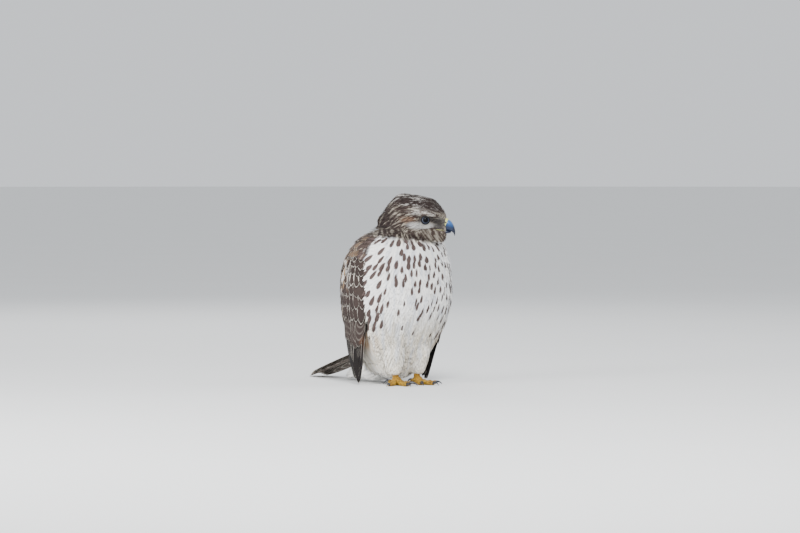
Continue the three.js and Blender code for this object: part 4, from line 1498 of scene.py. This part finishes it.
# Front of the eye: how far it bulges, and how far round from the middle, in radians
CORNEA = {"bulge": 0.05, "reach": 0.85}
# Lids: half opening and slope in radians, how far the upper lid comes down, and the corners
LIDS = {"open": 0.86, "slope": 0.24, "cover": 0.26, "corner": 0.05, "gap": 0.1}
# Length of a scute, how far the scutes stand out, and the height of a toe at its root
SCUTE_LENGTH = 3.4
SCUTE_HEIGHT = {"toe": 0.6, "shank": 0.4}
SHANK_SCUTES = 8
TOE_ROOT_HEIGHT = 6.4
TOE_START = 3


def bill_form(table, rows, ring):
    """Form that stands between a ridge and a lower edge, row by row."""
    columns = columns_of([(i, *row) for i, row in enumerate(table)])

    def place(row, turn):
        ridge, ridge_z, edge, edge_z, half = [column(row * (len(table) - 1)) for column in columns]
        angle = turn * FULL_TURN
        up = (1 + np.sin(angle)) / 2
        width = half * np.sign(np.cos(angle)) * np.abs(np.cos(angle)) ** BILL_ROUNDNESS
        return on_head(width, edge + (ridge - edge) * up, edge_z + (ridge_z - edge_z) * up)

    return loft_points(rows, ring, place)


def past_cere(forward, height):
    """Distance in front of the slanted line where the cere ends and the horn begins."""
    return forward - CERE_FRONT["forward"] + CERE_FRONT["slope"] * (height - CERE_FRONT["height"])


def make_bill(horn, skin):
    make_upper_bill(horn)
    make_lower_bill(horn)
    make_cere(skin)


def make_upper_bill(material):
    points, faces = bill_form(UPPER_BILL, 64, 48)
    side, ahead, height = head_place(points)
    sink = smooth_step(0.4, -1.2, past_cere(ahead, height))
    sunk = on_head(side * (1 - 0.4 * sink), ahead, height - 0.8 * sink * (height > 283))
    upper = new_mesh("bill_top", sunk, faces)
    _, ahead, height = head_place(points_of(upper))
    tip = smooth_step(76, 87, ahead + 0.6 * (276 - height))
    low = 0.92 * smooth_step(286, 275, height + 0.3 * (ahead - 78))
    set_values(upper, "dark", "FLOAT", np.maximum(tip, low))
    finished(upper, material, ["bill_upper"])


def make_lower_bill(material):
    lower = new_mesh("bill_bottom", *bill_form(LOWER_BILL, 24, 32))
    _, ahead, _ = head_place(points_of(lower))
    set_values(lower, "dark", "FLOAT", 0.92 + 0.08 * smooth_step(70, 79, ahead))
    finished(lower, material, ["bill_lower"])


def make_cere(material):
    """Bare skin over the bill's root, with a nostril on each side, dark with painted shade, and an edge
    rolled in at the front.
    """
    points, faces = bill_form(CERE, 60, 64)
    side, ahead, height = head_place(points)
    over = past_cere(ahead, height)
    hole = np.hypot(ahead - NOSTRIL["forward"], height - NOSTRIL["height"])
    nostril = NOSTRIL["depth"] * smooth_step(2.0, 1.0, hole) - NOSTRIL["rim"] * band(hole, 1.9, 3.0, 0.5)
    inward = nostril + CERE_ROLL["in"] * smooth_step(-0.2, 1.4, over)
    side = side - np.sign(side) * np.minimum(inward, np.abs(side))
    ahead = ahead - CERE_ROLL["back"] * smooth_step(0.0, 1.4, over)
    height = height - CERE_ROLL["down"] * smooth_step(-0.2, 1.4, over) * smooth_step(284, 290, height)
    cere = new_mesh("cere_skin", on_head(side, ahead, height), faces)
    low = 0.75 * smooth_step(282, 278, height)
    # Dark inside each nostril is painted shade; the lower part of the cere is darker as well
    set_values(cere, "dark", "FLOAT", np.maximum(smooth_step(1.9, 1.2, hole), low))
    finished(cere, material, ["cere"])


def make_gape(side, word, material):
    """Fleshy lip over the corner of the closed mouth."""

    def place(row, turn):
        ahead = GAPE["back"] + LIP["start"] + LIP["run"] * row
        middle = GAPE["back_z"] + LIP["up"] - row * LIP["fall"]
        radius = 0.3 + 0.5 * np.sin(math.pi * np.clip(row + 0.1, 0, 0.9))
        angle = turn * FULL_TURN
        reach = np.maximum(head_columns[0](ahead) * 0.95 - LIP["sink"], LIP["least"])
        return on_head(side * (reach + radius * np.cos(angle)), ahead, middle + radius * np.sin(angle))

    lip = new_mesh(f"gape_{word}", *loft_points(rows=24, ring=14, place=place))
    set_values(lip, "dark", "FLOAT", np.full(len(lip.data.vertices), 0.5))
    finished(lip, material)


def eye_axes(side):
    """Middle of the eye, the way it looks, and the ways to its right and up."""
    look = eye_look(side)
    right = unit(np.cross(look, [0, 0, 1.0]))
    return eye_centre(side), look, right, np.cross(right, look)


def make_eye(side, word, material):
    centre, look, right, up = eye_axes(side)

    def place(row, turn):
        polar = row**1.25 * math.pi
        angle = turn * FULL_TURN
        bulge = EYE["radius"] * (1 + CORNEA["bulge"] * smooth_step(CORNEA["reach"], 0.0, polar))
        across = np.sin(polar) * bulge
        ahead = look * (np.cos(polar) * bulge)[..., None]
        beside = right * (across * np.cos(angle))[..., None]
        return centre + ahead + beside + up * (across * np.sin(angle))[..., None]

    ball = new_mesh(f"eyeball_{word}", *loft_points(rows=110, ring=72, place=place))
    offset = points_of(ball) - centre
    set_values(ball, "ring", "FLOAT", np.arccos(np.clip(unit(offset) @ look, -1, 1)))
    spin = np.arctan2(offset @ up, offset @ right)
    set_values(ball, "spin", "FLOAT_VECTOR", stack(np.cos(spin), np.sin(spin), 0))
    finished(ball, material, [f"eye_{word}"])


def make_lids(side, word, material):
    """Dark bare rim round the eye. The upper lid is straight and slopes down to the bill."""
    centre, look, right, up = eye_axes(side)

    def place(row, turn):
        angle = row * FULL_TURN
        around = turn * FULL_TURN
        over = np.clip(np.sin(angle + LIDS["slope"] * side), 0, 1)
        opening = LIDS["open"] - LIDS["cover"] * over**1.3 + LIDS["corner"] * np.abs(np.cos(angle)) ** 6
        polar = opening + LIDS["gap"] + (0.1 + 0.16 * over) * np.cos(around)
        radius = EYE["radius"] + LIDS["gap"] + (0.5 + 0.4 * over) * np.sin(around)
        ring = right * np.cos(angle)[..., None] + up * np.sin(angle)[..., None]
        away = look * np.cos(polar)[..., None] + ring * np.sin(polar)[..., None]
        return centre + away * radius[..., None]

    finished(new_mesh(f"lids_{word}", *ring_points(rows=96, ring=20, place=place)), material)


def ring_points(rows, ring, place):
    """Closed ring of rings of points, and their faces with four corners."""
    row = (np.arange(rows) / rows)[:, None]
    turn = (np.arange(ring) / ring)[None, :]
    points = place(row + 0 * turn, turn + 0 * row).reshape(-1, 3)
    r, k = np.meshgrid(np.arange(rows), np.arange(ring), indexing="ij")
    after, below = (k + 1) % ring, ((r + 1) % rows) * ring
    faces = np.stack([r * ring + k, r * ring + after, below + after, below + k], -1).reshape(-1, 4)
    return points, faces


def toe_direction(side, degrees):
    angle = math.radians(degrees)
    return np.array([side * math.sin(angle), -math.cos(angle), 0.0])


def claw_bend(length):
    """Radius of a claw's arc, its pitch at both ends in radians, and its rise above the tip."""
    start, end = [math.radians(pitch) for pitch in CLAW_PITCH]
    bend = length / (start - end)
    return bend, start, end, bend * (math.cos(start) - math.cos(end))


def scutes(row, count):
    """Profile of overlapping scutes down a toe or shank, from 0 to 1."""
    step = (row * count) % 1
    return smooth_step(0, 0.25, step) - smooth_step(0.85, 1.0, step)


def toe_form(side, toe):
    """Toe with pads below and scutes above, from the ball of the foot to its claw."""
    heading, length, root, end, claw = toe
    ahead = toe_direction(side, heading)
    across = np.array([-ahead[1], ahead[0], 0.0])
    drop = claw_bend(claw)[3]
    count = round(length / SCUTE_LENGTH)

    def place(row, turn):
        angle = turn * FULL_TURN
        pads = 0.9 + 0.1 * np.cos(row * 6 * math.pi)
        radius = (root + (end - root) * row) * pads
        rise = TOE_ROOT_HEIGHT + (radius * 0.86 - TOE_ROOT_HEIGHT) * smooth_step(0, 0.4, row)
        rise = rise + (drop - rise) * smooth_step(0.7, 1, row)
        over = np.clip(np.sin(angle), 0, 1)
        plate = SCUTE_HEIGHT["toe"] * over * scutes(row, count)
        grain = 0.22 * (1 - over) * np.sin(row * count * 4 * math.pi) * np.sin(angle * 9)
        reach = radius + plate + grain
        along = TOE_START + (length - TOE_START) * row
        middle = np.array([side * FOOT_SPREAD, 0, 0]) + ahead * along[..., None]
        point = middle + across * (reach * np.cos(angle))[..., None]
        point[..., 2] = np.maximum(rise + reach * np.sin(angle), 0.0)
        return point

    return loft_points(rows=count * 8, ring=40, place=place)


def claw_form(side, toe):
    heading, length, _, thick, claw = toe
    ahead = toe_direction(side, heading)
    across = np.array([-ahead[1], ahead[0], 0.0])
    bend, start, end, drop = claw_bend(claw)
    root, tip = thick * 0.88, 0.3

    def place(row, turn):
        pitch = start + (end - start) * row
        forward = bend * (math.sin(start) - np.sin(pitch))
        rise = drop - bend * (math.cos(start) - np.cos(pitch)) - 0.1
        radius = root + (tip - root) * row**0.8
        angle = turn * FULL_TURN
        along = length - 1.2 + forward - radius * np.sin(angle) * np.sin(pitch)
        point = np.array([side * FOOT_SPREAD, 0, 0]) + ahead * along[..., None]
        point = point + across * (radius * 0.8 * np.cos(angle))[..., None]
        point[..., 2] = np.maximum(rise + radius * np.cos(pitch) * np.sin(angle), 0.0)
        return point

    return loft_points(rows=28, ring=20, place=place)


def shank_form(side):
    """Bare leg between the feathers and the toes, with scutes down its front."""

    def place(row, turn):
        angle = turn * FULL_TURN
        front = np.clip(-np.sin(angle), 0, 1)
        plate = SCUTE_HEIGHT["shank"] * front * scutes(row, SHANK_SCUTES)
        radius = 5.7 - 0.7 * row + plate
        x = side * (FOOT_SPREAD + row) + radius * np.cos(angle)
        y = 2 + 5 * row + radius * 1.1 * np.sin(angle)
        return stack(x, y, 6 + 24 * row)

    return loft_points(rows=56, ring=36, place=place)


def palm_form(side):
    """Ball of the foot, where the toes meet."""

    def place(row, turn):
        polar, angle = row * math.pi, turn * FULL_TURN
        grain = 1 + 0.025 * np.sin(angle * 14) * np.sin(polar * 12)
        x = side * FOOT_SPREAD + 9 * grain * np.sin(polar) * np.cos(angle)
        y = 1 + 10 * grain * np.sin(polar) * np.sin(angle)
        return stack(x, y, np.maximum(7.4 - 8 * np.cos(polar), 0.0))

    return loft_points(rows=40, ring=56, place=place)


def make_foot(side, word, skin, horn):
    parts = [palm_form(side), shank_form(side)] + [toe_form(side, toe) for toe in TOES.values()]
    foot = new_mesh(f"foot_skin_{word}", *joined_points(parts))
    finished(foot, skin, [f"foot_{word}", f"tarsus_{word}"])
    for digit, toe in TOES.items():
        claw = new_mesh(f"claw_horn_{digit}_{word}", *claw_form(side, toe))
        finished(claw, horn, [f"claw_{digit}_{word}"])


# Materials

SHAFT_DARK = (0.012, 0.01, 0.009)
BARB_DARK = (0.03, 0.025, 0.022)
SKIN_DARK = (0.1, 0.085, 0.07)
# Bars of a flight feather: radians from root to tip, and how they bend and differ by feather
BARS = {"run": 46.0, "bend": 0.8, "stray": 0.8}


def opaque(color):
    return (*[float(v) for v in color[:3]], 1.0)


def node_group(name, inputs, outputs):
    group = bpy.data.node_groups.new(name, "ShaderNodeTree")
    for kind, sockets in (("INPUT", inputs), ("OUTPUT", outputs)):
        for socket, form in sockets.items():
            group.interface.new_socket(socket, in_out=kind, socket_type=form)
    return group, group.nodes.new("NodeGroupInput"), group.nodes.new("NodeGroupOutput")


def math_node(tree, operation, a, b=None, clamp=False):
    node = tree.nodes.new("ShaderNodeMath")
    node.operation, node.use_clamp = operation, clamp
    for socket, value in zip(node.inputs, (a, b)):
        if value is None:
            continue
        if isinstance(value, (int, float)):
            socket.default_value = value
        else:
            tree.links.new(value, socket)
    return node.outputs[0]


def ramp_node(tree, value, low, high, to_low=0.0, to_high=1.0):
    """Smooth change from to_low to to_high while the value goes from low to high."""
    node = tree.nodes.new("ShaderNodeMapRange")
    node.interpolation_type = "SMOOTHSTEP"
    for socket, setting in zip(node.inputs, (value, low, high, to_low, to_high)):
        if isinstance(setting, (int, float)):
            socket.default_value = setting
        else:
            tree.links.new(setting, socket)
    return node.outputs[0]


def mix_node(tree, weight, a, b):
    node = tree.nodes.new("ShaderNodeMix")
    node.data_type = "RGBA"
    for socket, value in ((node.inputs[0], weight), (node.inputs[6], a), (node.inputs[7], b)):
        if isinstance(value, (int, float)):
            socket.default_value = value
        elif isinstance(value, (tuple, list, np.ndarray)):
            socket.default_value = opaque(value)
        else:
            tree.links.new(value, socket)
    return node.outputs[2]


def feather_pattern_group():
    """Drops, bars, shaft streak, pale edge and fine barbs, from the place across and along a feather."""
    group, given, result = node_group(
        "feather pattern",
        {
            "Base": "NodeSocketColor",
            "Drop": "NodeSocketColor",
            "Edge": "NodeSocketColor",
            "Lay": "NodeSocketVector",
            "Pattern": "NodeSocketVector",
            "Field": "NodeSocketFloat",
            "Barbs along": "NodeSocketFloat",
            "Barbs across": "NodeSocketFloat",
            "Barb shade": "NodeSocketFloat",
        },
        {"Color": "NodeSocketColor", "Height": "NodeSocketFloat"},
    )
    lay = group.nodes.new("ShaderNodeSeparateXYZ")
    group.links.new(given.outputs["Lay"], lay.inputs[0])
    pattern = group.nodes.new("ShaderNodeSeparateXYZ")
    group.links.new(given.outputs["Pattern"], pattern.inputs[0])
    across = math_node(group, "ABSOLUTE", lay.outputs[0])
    along, seed = lay.outputs[1], lay.outputs[2]
    bars, shaft, edge = pattern.outputs
    barbs = barb_lines(group, given, along, across, seed)
    barred = bar_mask(group, along, across, seed, bars)
    color = mix_node(group, barred, given.outputs["Base"], given.outputs["Edge"])
    drop = math_node(group, "ADD", given.outputs["Field"], math_node(group, "MULTIPLY", barbs, 0.3))
    color = mix_node(group, ramp_node(group, drop, -0.2, 0.6), color, given.outputs["Drop"])
    dark = math_node(group, "MULTIPLY", streak_mask(group, along, across, shaft), 0.6)
    color = mix_node(group, dark, color, SHAFT_DARK)
    color = mix_node(group, edge_mask(group, along, across, edge), color, given.outputs["Edge"])
    darker = math_node(group, "MULTIPLY", barbs, given.outputs["Barb shade"])
    color = mix_node(group, darker, color, BARB_DARK)
    group.links.new(color, result.inputs["Color"])
    group.links.new(barbs, result.inputs["Height"])
    return group


def bar_mask(tree, along, across, seed, amount):
    """Pale wavy bars across a flight feather, fading towards its root."""
    bend = math_node(tree, "MULTIPLY", across, BARS["bend"])
    shifted = math_node(tree, "ADD", math_node(tree, "MULTIPLY", along, BARS["run"]), bend)
    stray = math_node(tree, "MULTIPLY", seed, BARS["stray"])
    wave = math_node(tree, "SINE", math_node(tree, "ADD", shifted, stray))
    mask = math_node(tree, "MULTIPLY", ramp_node(tree, wave, 0.35, 0.9), amount)
    return math_node(tree, "MULTIPLY", mask, ramp_node(tree, along, 0.3, 0.6, 0.0, 0.5))


def streak_mask(tree, along, across, size):
    """Dark streak down the shaft, narrower towards the tip."""
    reach = math_node(tree, "MULTIPLY", size, ramp_node(tree, along, 1.0, 0.5, 0.25, 1.0))
    inside = math_node(tree, "SUBTRACT", reach, across)
    shown = ramp_node(tree, size, 0.01, 0.03)
    return math_node(tree, "MULTIPLY", ramp_node(tree, inside, 0.0, 0.03), shown)


def edge_mask(tree, along, across, size):
    """Pale rim of even breadth round the sides and the tip."""
    side = math_node(tree, "SUBTRACT", across, math_node(tree, "SUBTRACT", 1.0, size))
    tip_size = math_node(tree, "MULTIPLY", size, 0.16)
    tip = math_node(tree, "SUBTRACT", along, math_node(tree, "SUBTRACT", 1.0, tip_size))
    most = math_node(tree, "MAXIMUM", side, math_node(tree, "MULTIPLY", tip, 6.0))
    mask = math_node(tree, "MULTIPLY", ramp_node(tree, most, -0.03, 0.03), ramp_node(tree, along, 0.3, 0.6))
    return math_node(tree, "MULTIPLY", mask, ramp_node(tree, size, 0.01, 0.05))


def barb_lines(tree, given, along, across, seed):
    """Fine slanted lines, as light and dark from 0 to 1."""
    lengthwise = math_node(tree, "MULTIPLY", along, given.outputs["Barbs along"])
    crosswise = math_node(tree, "MULTIPLY", across, given.outputs["Barbs across"])
    slant = math_node(tree, "SUBTRACT", lengthwise, crosswise)
    wave = math_node(tree, "SINE", math_node(tree, "ADD", slant, math_node(tree, "MULTIPLY", seed, 40.0)))
    return ramp_node(tree, wave, -1.0, 1.0)


def attribute_node(tree, name, output):
    node = tree.nodes.new("ShaderNodeAttribute")
    node.attribute_type, node.attribute_name = "GEOMETRY", name
    return node.outputs[output]


def new_material(name, roughness, **settings):
    material = bpy.data.materials.new(name)
    material.use_nodes = True
    shader = material.node_tree.nodes["Principled BSDF"]
    shader.inputs["Roughness"].default_value = roughness
    for socket, value in settings.items():
        shader.inputs[socket.replace("_", " ")].default_value = value
    return material, material.node_tree, shader


def add_bump(tree, shader, height, distance, strength):
    bump = tree.nodes.new("ShaderNodeBump")
    bump.inputs["Distance"].default_value = distance
    bump.inputs["Strength"].default_value = strength
    tree.links.new(height, bump.inputs["Height"])
    tree.links.new(bump.outputs[0], shader.inputs["Normal"])


def noise_node(tree, scale, detail=3.0):
    place = tree.nodes.new("ShaderNodeTexCoord")
    noise = tree.nodes.new("ShaderNodeTexNoise")
    noise.inputs["Scale"].default_value = scale
    noise.inputs["Detail"].default_value = detail
    tree.links.new(place.outputs["Object"], noise.inputs["Vector"])
    return noise.outputs[0]


def mottled_group():
    """Two colours mixed by fine noise, for horn, cere, claws, lids and floor, and the noise for bumps."""
    group, given, result = node_group(
        "mottled",
        {
            "Place": "NodeSocketVector",
            "Scale": "NodeSocketFloat",
            "Detail": "NodeSocketFloat",
            "Light": "NodeSocketColor",
            "Dark": "NodeSocketColor",
        },
        {"Color": "NodeSocketColor", "Height": "NodeSocketFloat"},
    )
    noise = group.nodes.new("ShaderNodeTexNoise")
    for socket, source in (("Vector", "Place"), ("Scale", "Scale"), ("Detail", "Detail")):
        group.links.new(given.outputs[source], noise.inputs[socket])
    color = mix_node(group, noise.outputs[0], given.outputs["Light"], given.outputs["Dark"])
    group.links.new(color, result.inputs["Color"])
    group.links.new(noise.outputs[0], result.inputs["Height"])
    return group


def mottled(tree, group, light, dark, scale, detail=3.0):
    """Colour and height of the shared mottling, at a material's own colours and scale."""
    node = tree.nodes.new("ShaderNodeGroup")
    node.node_tree = group
    place = tree.nodes.new("ShaderNodeTexCoord")
    tree.links.new(place.outputs["Object"], node.inputs["Place"])
    node.inputs["Scale"].default_value = scale
    node.inputs["Detail"].default_value = detail
    node.inputs["Light"].default_value = opaque(light)
    node.inputs["Dark"].default_value = opaque(dark)
    return node.outputs["Color"], node.outputs["Height"]


def feather_material(name, group, edge, barbs, roughness, bump, sheen):
    """Feathers painted by the shared pattern. barbs is their count along, across and their shade."""
    material, tree, shader = new_material(name, roughness, Sheen_Weight=sheen, Specular_IOR_Level=0.12)
    pattern = tree.nodes.new("ShaderNodeGroup")
    pattern.node_tree = group
    for socket, attribute, output in (
        ("Base", "base", "Color"),
        ("Lay", "lay", "Vector"),
        ("Pattern", "pattern", "Vector"),
        ("Field", "field", "Fac"),
    ):
        tree.links.new(attribute_node(tree, attribute, output), pattern.inputs[socket])
    for socket, color in (("Edge", edge), ("Drop", DROP_BROWN)):
        pattern.inputs[socket].default_value = opaque(color)
    for socket, value in zip(("Barbs along", "Barbs across", "Barb shade"), barbs):
        pattern.inputs[socket].default_value = value
    tree.links.new(pattern.outputs["Color"], shader.inputs["Base Color"])
    add_bump(tree, shader, pattern.outputs["Height"], 0.0003, bump)
    return material


def skin_material():
    material, tree, shader = new_material("skin under the feathers", 0.9, Specular_IOR_Level=0.2)
    noise = noise_node(tree, 900.0)
    dark = math_node(tree, "MULTIPLY", noise, 0.2)
    color = mix_node(tree, dark, attribute_node(tree, "base", "Color"), SKIN_DARK)
    tree.links.new(color, shader.inputs["Base Color"])
    add_bump(tree, shader, noise, 0.001, 0.5)
    return material


def horn_material(name, group, pale, dark, roughness):
    """Horn or waxy skin with faint mottling, darker where the dark value says."""
    gloss = {"Coat_Weight": 0.2, "Coat_Roughness": 0.15, "Specular_IOR_Level": 0.3}
    material, tree, shader = new_material(name, roughness, **gloss)
    body, height = mottled(tree, group, pale, pale * 0.72, 260.0, 5.0)
    color = mix_node(tree, attribute_node(tree, "dark", "Fac"), body, dark)
    tree.links.new(color, shader.inputs["Base Color"])
    add_bump(tree, shader, height, 0.0002, 0.25)
    return material


def claw_material(group):
    material, tree, shader = new_material("claw horn", 0.3, Coat_Weight=0.3, Coat_Roughness=0.12)
    color, height = mottled(tree, group, shade(34, 38, 50), shade(12, 13, 17), 320.0, 4.0)
    tree.links.new(color, shader.inputs["Base Color"])
    add_bump(tree, shader, height, 0.0002, 0.3)
    return material


def foot_material():
    """Yellow scaled skin, greenish and orange in places, with dark creases."""
    material, tree, shader = new_material("scaled yellow skin", 0.5, Specular_IOR_Level=0.25)
    broad, fine = noise_node(tree, 45.0), noise_node(tree, 700.0, 2.0)
    color = mix_node(tree, ramp_node(tree, broad, 0.4, 0.62), shade(192, 158, 40), shade(156, 144, 58))
    color = mix_node(tree, ramp_node(tree, broad, 0.6, 0.36, 0.0, 0.5), shade(186, 138, 40), color)
    cracks = tree.nodes.new("ShaderNodeTexVoronoi")
    cracks.feature = "DISTANCE_TO_EDGE"
    cracks.inputs["Scale"].default_value = 460.0
    place = tree.nodes.new("ShaderNodeTexCoord")
    tree.links.new(place.outputs["Object"], cracks.inputs["Vector"])
    crease = ramp_node(tree, cracks.outputs[0], 0.0, 0.2)
    color = mix_node(tree, ramp_node(tree, crease, 1.0, 0.0, 0.0, 0.9), color, shade(84, 62, 28))
    tree.links.new(color, shader.inputs["Base Color"])
    height = math_node(tree, "ADD", crease, math_node(tree, "MULTIPLY", fine, 0.3))
    add_bump(tree, shader, height, 0.0008, 0.9)
    return material


def eye_material():
    """Black pupil, grey-brown iris with fine rays and a dark outer ring."""
    wet = {"Coat_Weight": 0.1, "Coat_Roughness": 0.02, "Specular_IOR_Level": 0.04}
    material, tree, shader = new_material("wet eye", 0.08, **wet)
    ring = attribute_node(tree, "ring", "Fac")
    rays = tree.nodes.new("ShaderNodeTexNoise")
    rays.inputs["Scale"].default_value = 9.0
    tree.links.new(attribute_node(tree, "spin", "Vector"), rays.inputs["Vector"])
    iris = mix_node(tree, rays.outputs[0], shade(60, 66, 80), shade(30, 32, 44))
    iris = mix_node(tree, ramp_node(tree, ring, 0.66, 0.84), iris, shade(16, 15, 16))
    color = mix_node(tree, ramp_node(tree, ring, 0.5, 0.56), shade(3, 3, 5), iris)
    tree.links.new(color, shader.inputs["Base Color"])
    return material


def lid_material(group):
    material, tree, shader = new_material("bare lids", 0.6, Specular_IOR_Level=0.15)
    color, height = mottled(tree, group, shade(26, 24, 25), shade(12, 12, 13), 700.0)
    tree.links.new(color, shader.inputs["Base Color"])
    add_bump(tree, shader, height, 0.0004, 0.5)
    return material


# Floor, light and camera

FLOOR_REACH = 30000.0
FLOOR_CORNERS = 96
FLOOR_PAINT = [(0.80, 0.805, 0.80), (0.77, 0.775, 0.77)]
SKY = {"color": (0.88, 0.91, 0.95), "strength": 1.0}
LIGHT_AIM = (0.0, 0.0, 0.16)
# Place in metres, power in watts and size in metres
LIGHTS = {
    "key": ((-1.3, -2.2, 2.2), 126.0, 1.0),
    "low side": ((-2.4, -0.2, 0.5), 60.0, 1.0),
    "fill": ((2.0, -1.2, 1.2), 14.0, 1.8),
    "rim": ((0.8, 2.2, 1.8), 24.0, 1.2),
}
# The camera's turn and rise in degrees, the millimetres that one pixel of the photo shows, where
# the middle between the feet lies in the photo, the sensor's width, and distances in metres
FOOT_MIDDLE = placed(np.array([0.0, 0.0, 0.0]))
VIEW_TURN, VIEW_RISE = -35.0, 2.0
PIXEL = 1.75
SENSOR = 36.0
VIEW_END = 60.0
PHOTO = {"width": 800, "foot_x": 407.5, "foot_y": 385.0, "middle": (400.0, 266.5)}
DISTANCE = 6.0


def make_floor(group):
    ring = np.arange(FLOOR_CORNERS) / FLOOR_CORNERS * FULL_TURN
    rim = stack(FLOOR_REACH * np.cos(ring), FLOOR_REACH * np.sin(ring), 0.0)
    points = np.concatenate([[[0.0, 0.0, 0.0]], rim])
    k = np.arange(FLOOR_CORNERS)
    faces = np.stack([np.zeros(FLOOR_CORNERS, int), 1 + k, 1 + (k + 1) % FLOOR_CORNERS], 1)
    floor = new_mesh("floor", points, faces)
    material, tree, shader = new_material("pale floor", 0.8, Specular_IOR_Level=0.2)
    color, _ = mottled(tree, group, *FLOOR_PAINT, 3.0)
    tree.links.new(color, shader.inputs["Base Color"])
    floor.data.materials.append(material)


def make_lights():
    world = bpy.data.worlds.new("soft studio")
    bpy.context.scene.world = world
    world.use_nodes = True
    back = world.node_tree.nodes["Background"]
    back.inputs["Color"].default_value = opaque(SKY["color"])
    back.inputs["Strength"].default_value = SKY["strength"]
    for name, (place, power, size) in LIGHTS.items():
        data = bpy.data.lights.new(name, "AREA")
        data.energy = power
        data.size = size
        lamp = bpy.data.objects.new(name, data)
        lamp.location = place
        aim = Vector(LIGHT_AIM) - lamp.location
        lamp.rotation_euler = aim.to_track_quat("-Z", "Y").to_euler()
        bpy.context.scene.collection.objects.link(lamp)


def make_camera():
    """Camera placed so that the middle between the feet lies where it does in the photo."""
    turn, rise = math.radians(VIEW_TURN), math.radians(VIEW_RISE)
    back = Vector((math.sin(turn) * math.cos(rise), -math.cos(turn) * math.cos(rise), math.sin(rise)))
    right = Vector((math.cos(turn), math.sin(turn), 0.0))
    across = (PHOTO["middle"][0] - PHOTO["foot_x"]) * PIXEL / METRE
    up = (PHOTO["foot_y"] - PHOTO["middle"][1]) * PIXEL / METRE
    target = Vector(FOOT_MIDDLE) + right * across + Vector((0, 0, up))
    data = bpy.data.cameras.new("camera")
    data.sensor_width = SENSOR
    data.lens = data.sensor_width * DISTANCE / (PHOTO["width"] * PIXEL / METRE)
    data.clip_end = VIEW_END
    camera = bpy.data.objects.new("camera", data)
    camera.location = target + back * DISTANCE
    camera.rotation_euler = (-back).to_track_quat("-Z", "Y").to_euler()
    bpy.context.scene.collection.objects.link(camera)
    bpy.context.scene.camera = camera


# Pale edge, then barbs along and across and their shade, then roughness, bump and sheen
FEATHERS = {
    "soft body feathers": (WHITE, (3.0, 30.0, 0.07), 0.9, 0.25, 0.03),
    "wing feathers": (WING_EDGE, (150.0, 34.0, 0.45), 0.8, 0.3, 0.0),
    "mantle feathers": (MANTLE_EDGE, (60.0, 30.0, 0.4), 0.85, 0.3, 0.0),
}


def feather_materials():
    """Soft feathers of the body, stiff ones of wings and tail, and broad ones of the back."""
    group = feather_pattern_group()
    return [feather_material(name, group, *finish) for name, finish in FEATHERS.items()]


def make_hawk(group):
    skin = make_skin(skin_material())
    surface = lie_of_the_coat()
    soft, wing, mantle = feather_materials()
    make_body_coat(surface, soft)
    make_mantle(surface, mantle)
    make_head_coat(surface, soft)
    for side, word in SIDES:
        make_thigh_coat(surface, side, word, soft)
        make_wing(side, word, wing, skin.data.materials[0])
    make_undertail_coat(surface, soft)
    make_tail(wing)
    horn = horn_material("blue-grey horn", group, *BILL_PAINT, 0.28)
    waxy = horn_material("waxy yellow skin", group, *CERE_PAINT, 0.5)
    make_bill(horn, waxy)
    yellow, claw = foot_material(), claw_material(group)
    ball, lids = eye_material(), lid_material(group)
    for side, word in SIDES:
        make_gape(side, word, waxy)
        make_eye(side, word, ball)
        make_lids(side, word, lids)
        make_foot(side, word, yellow, claw)


make_camera()
mottling = mottled_group()
make_floor(mottling)
make_lights()
make_hawk(mottling)
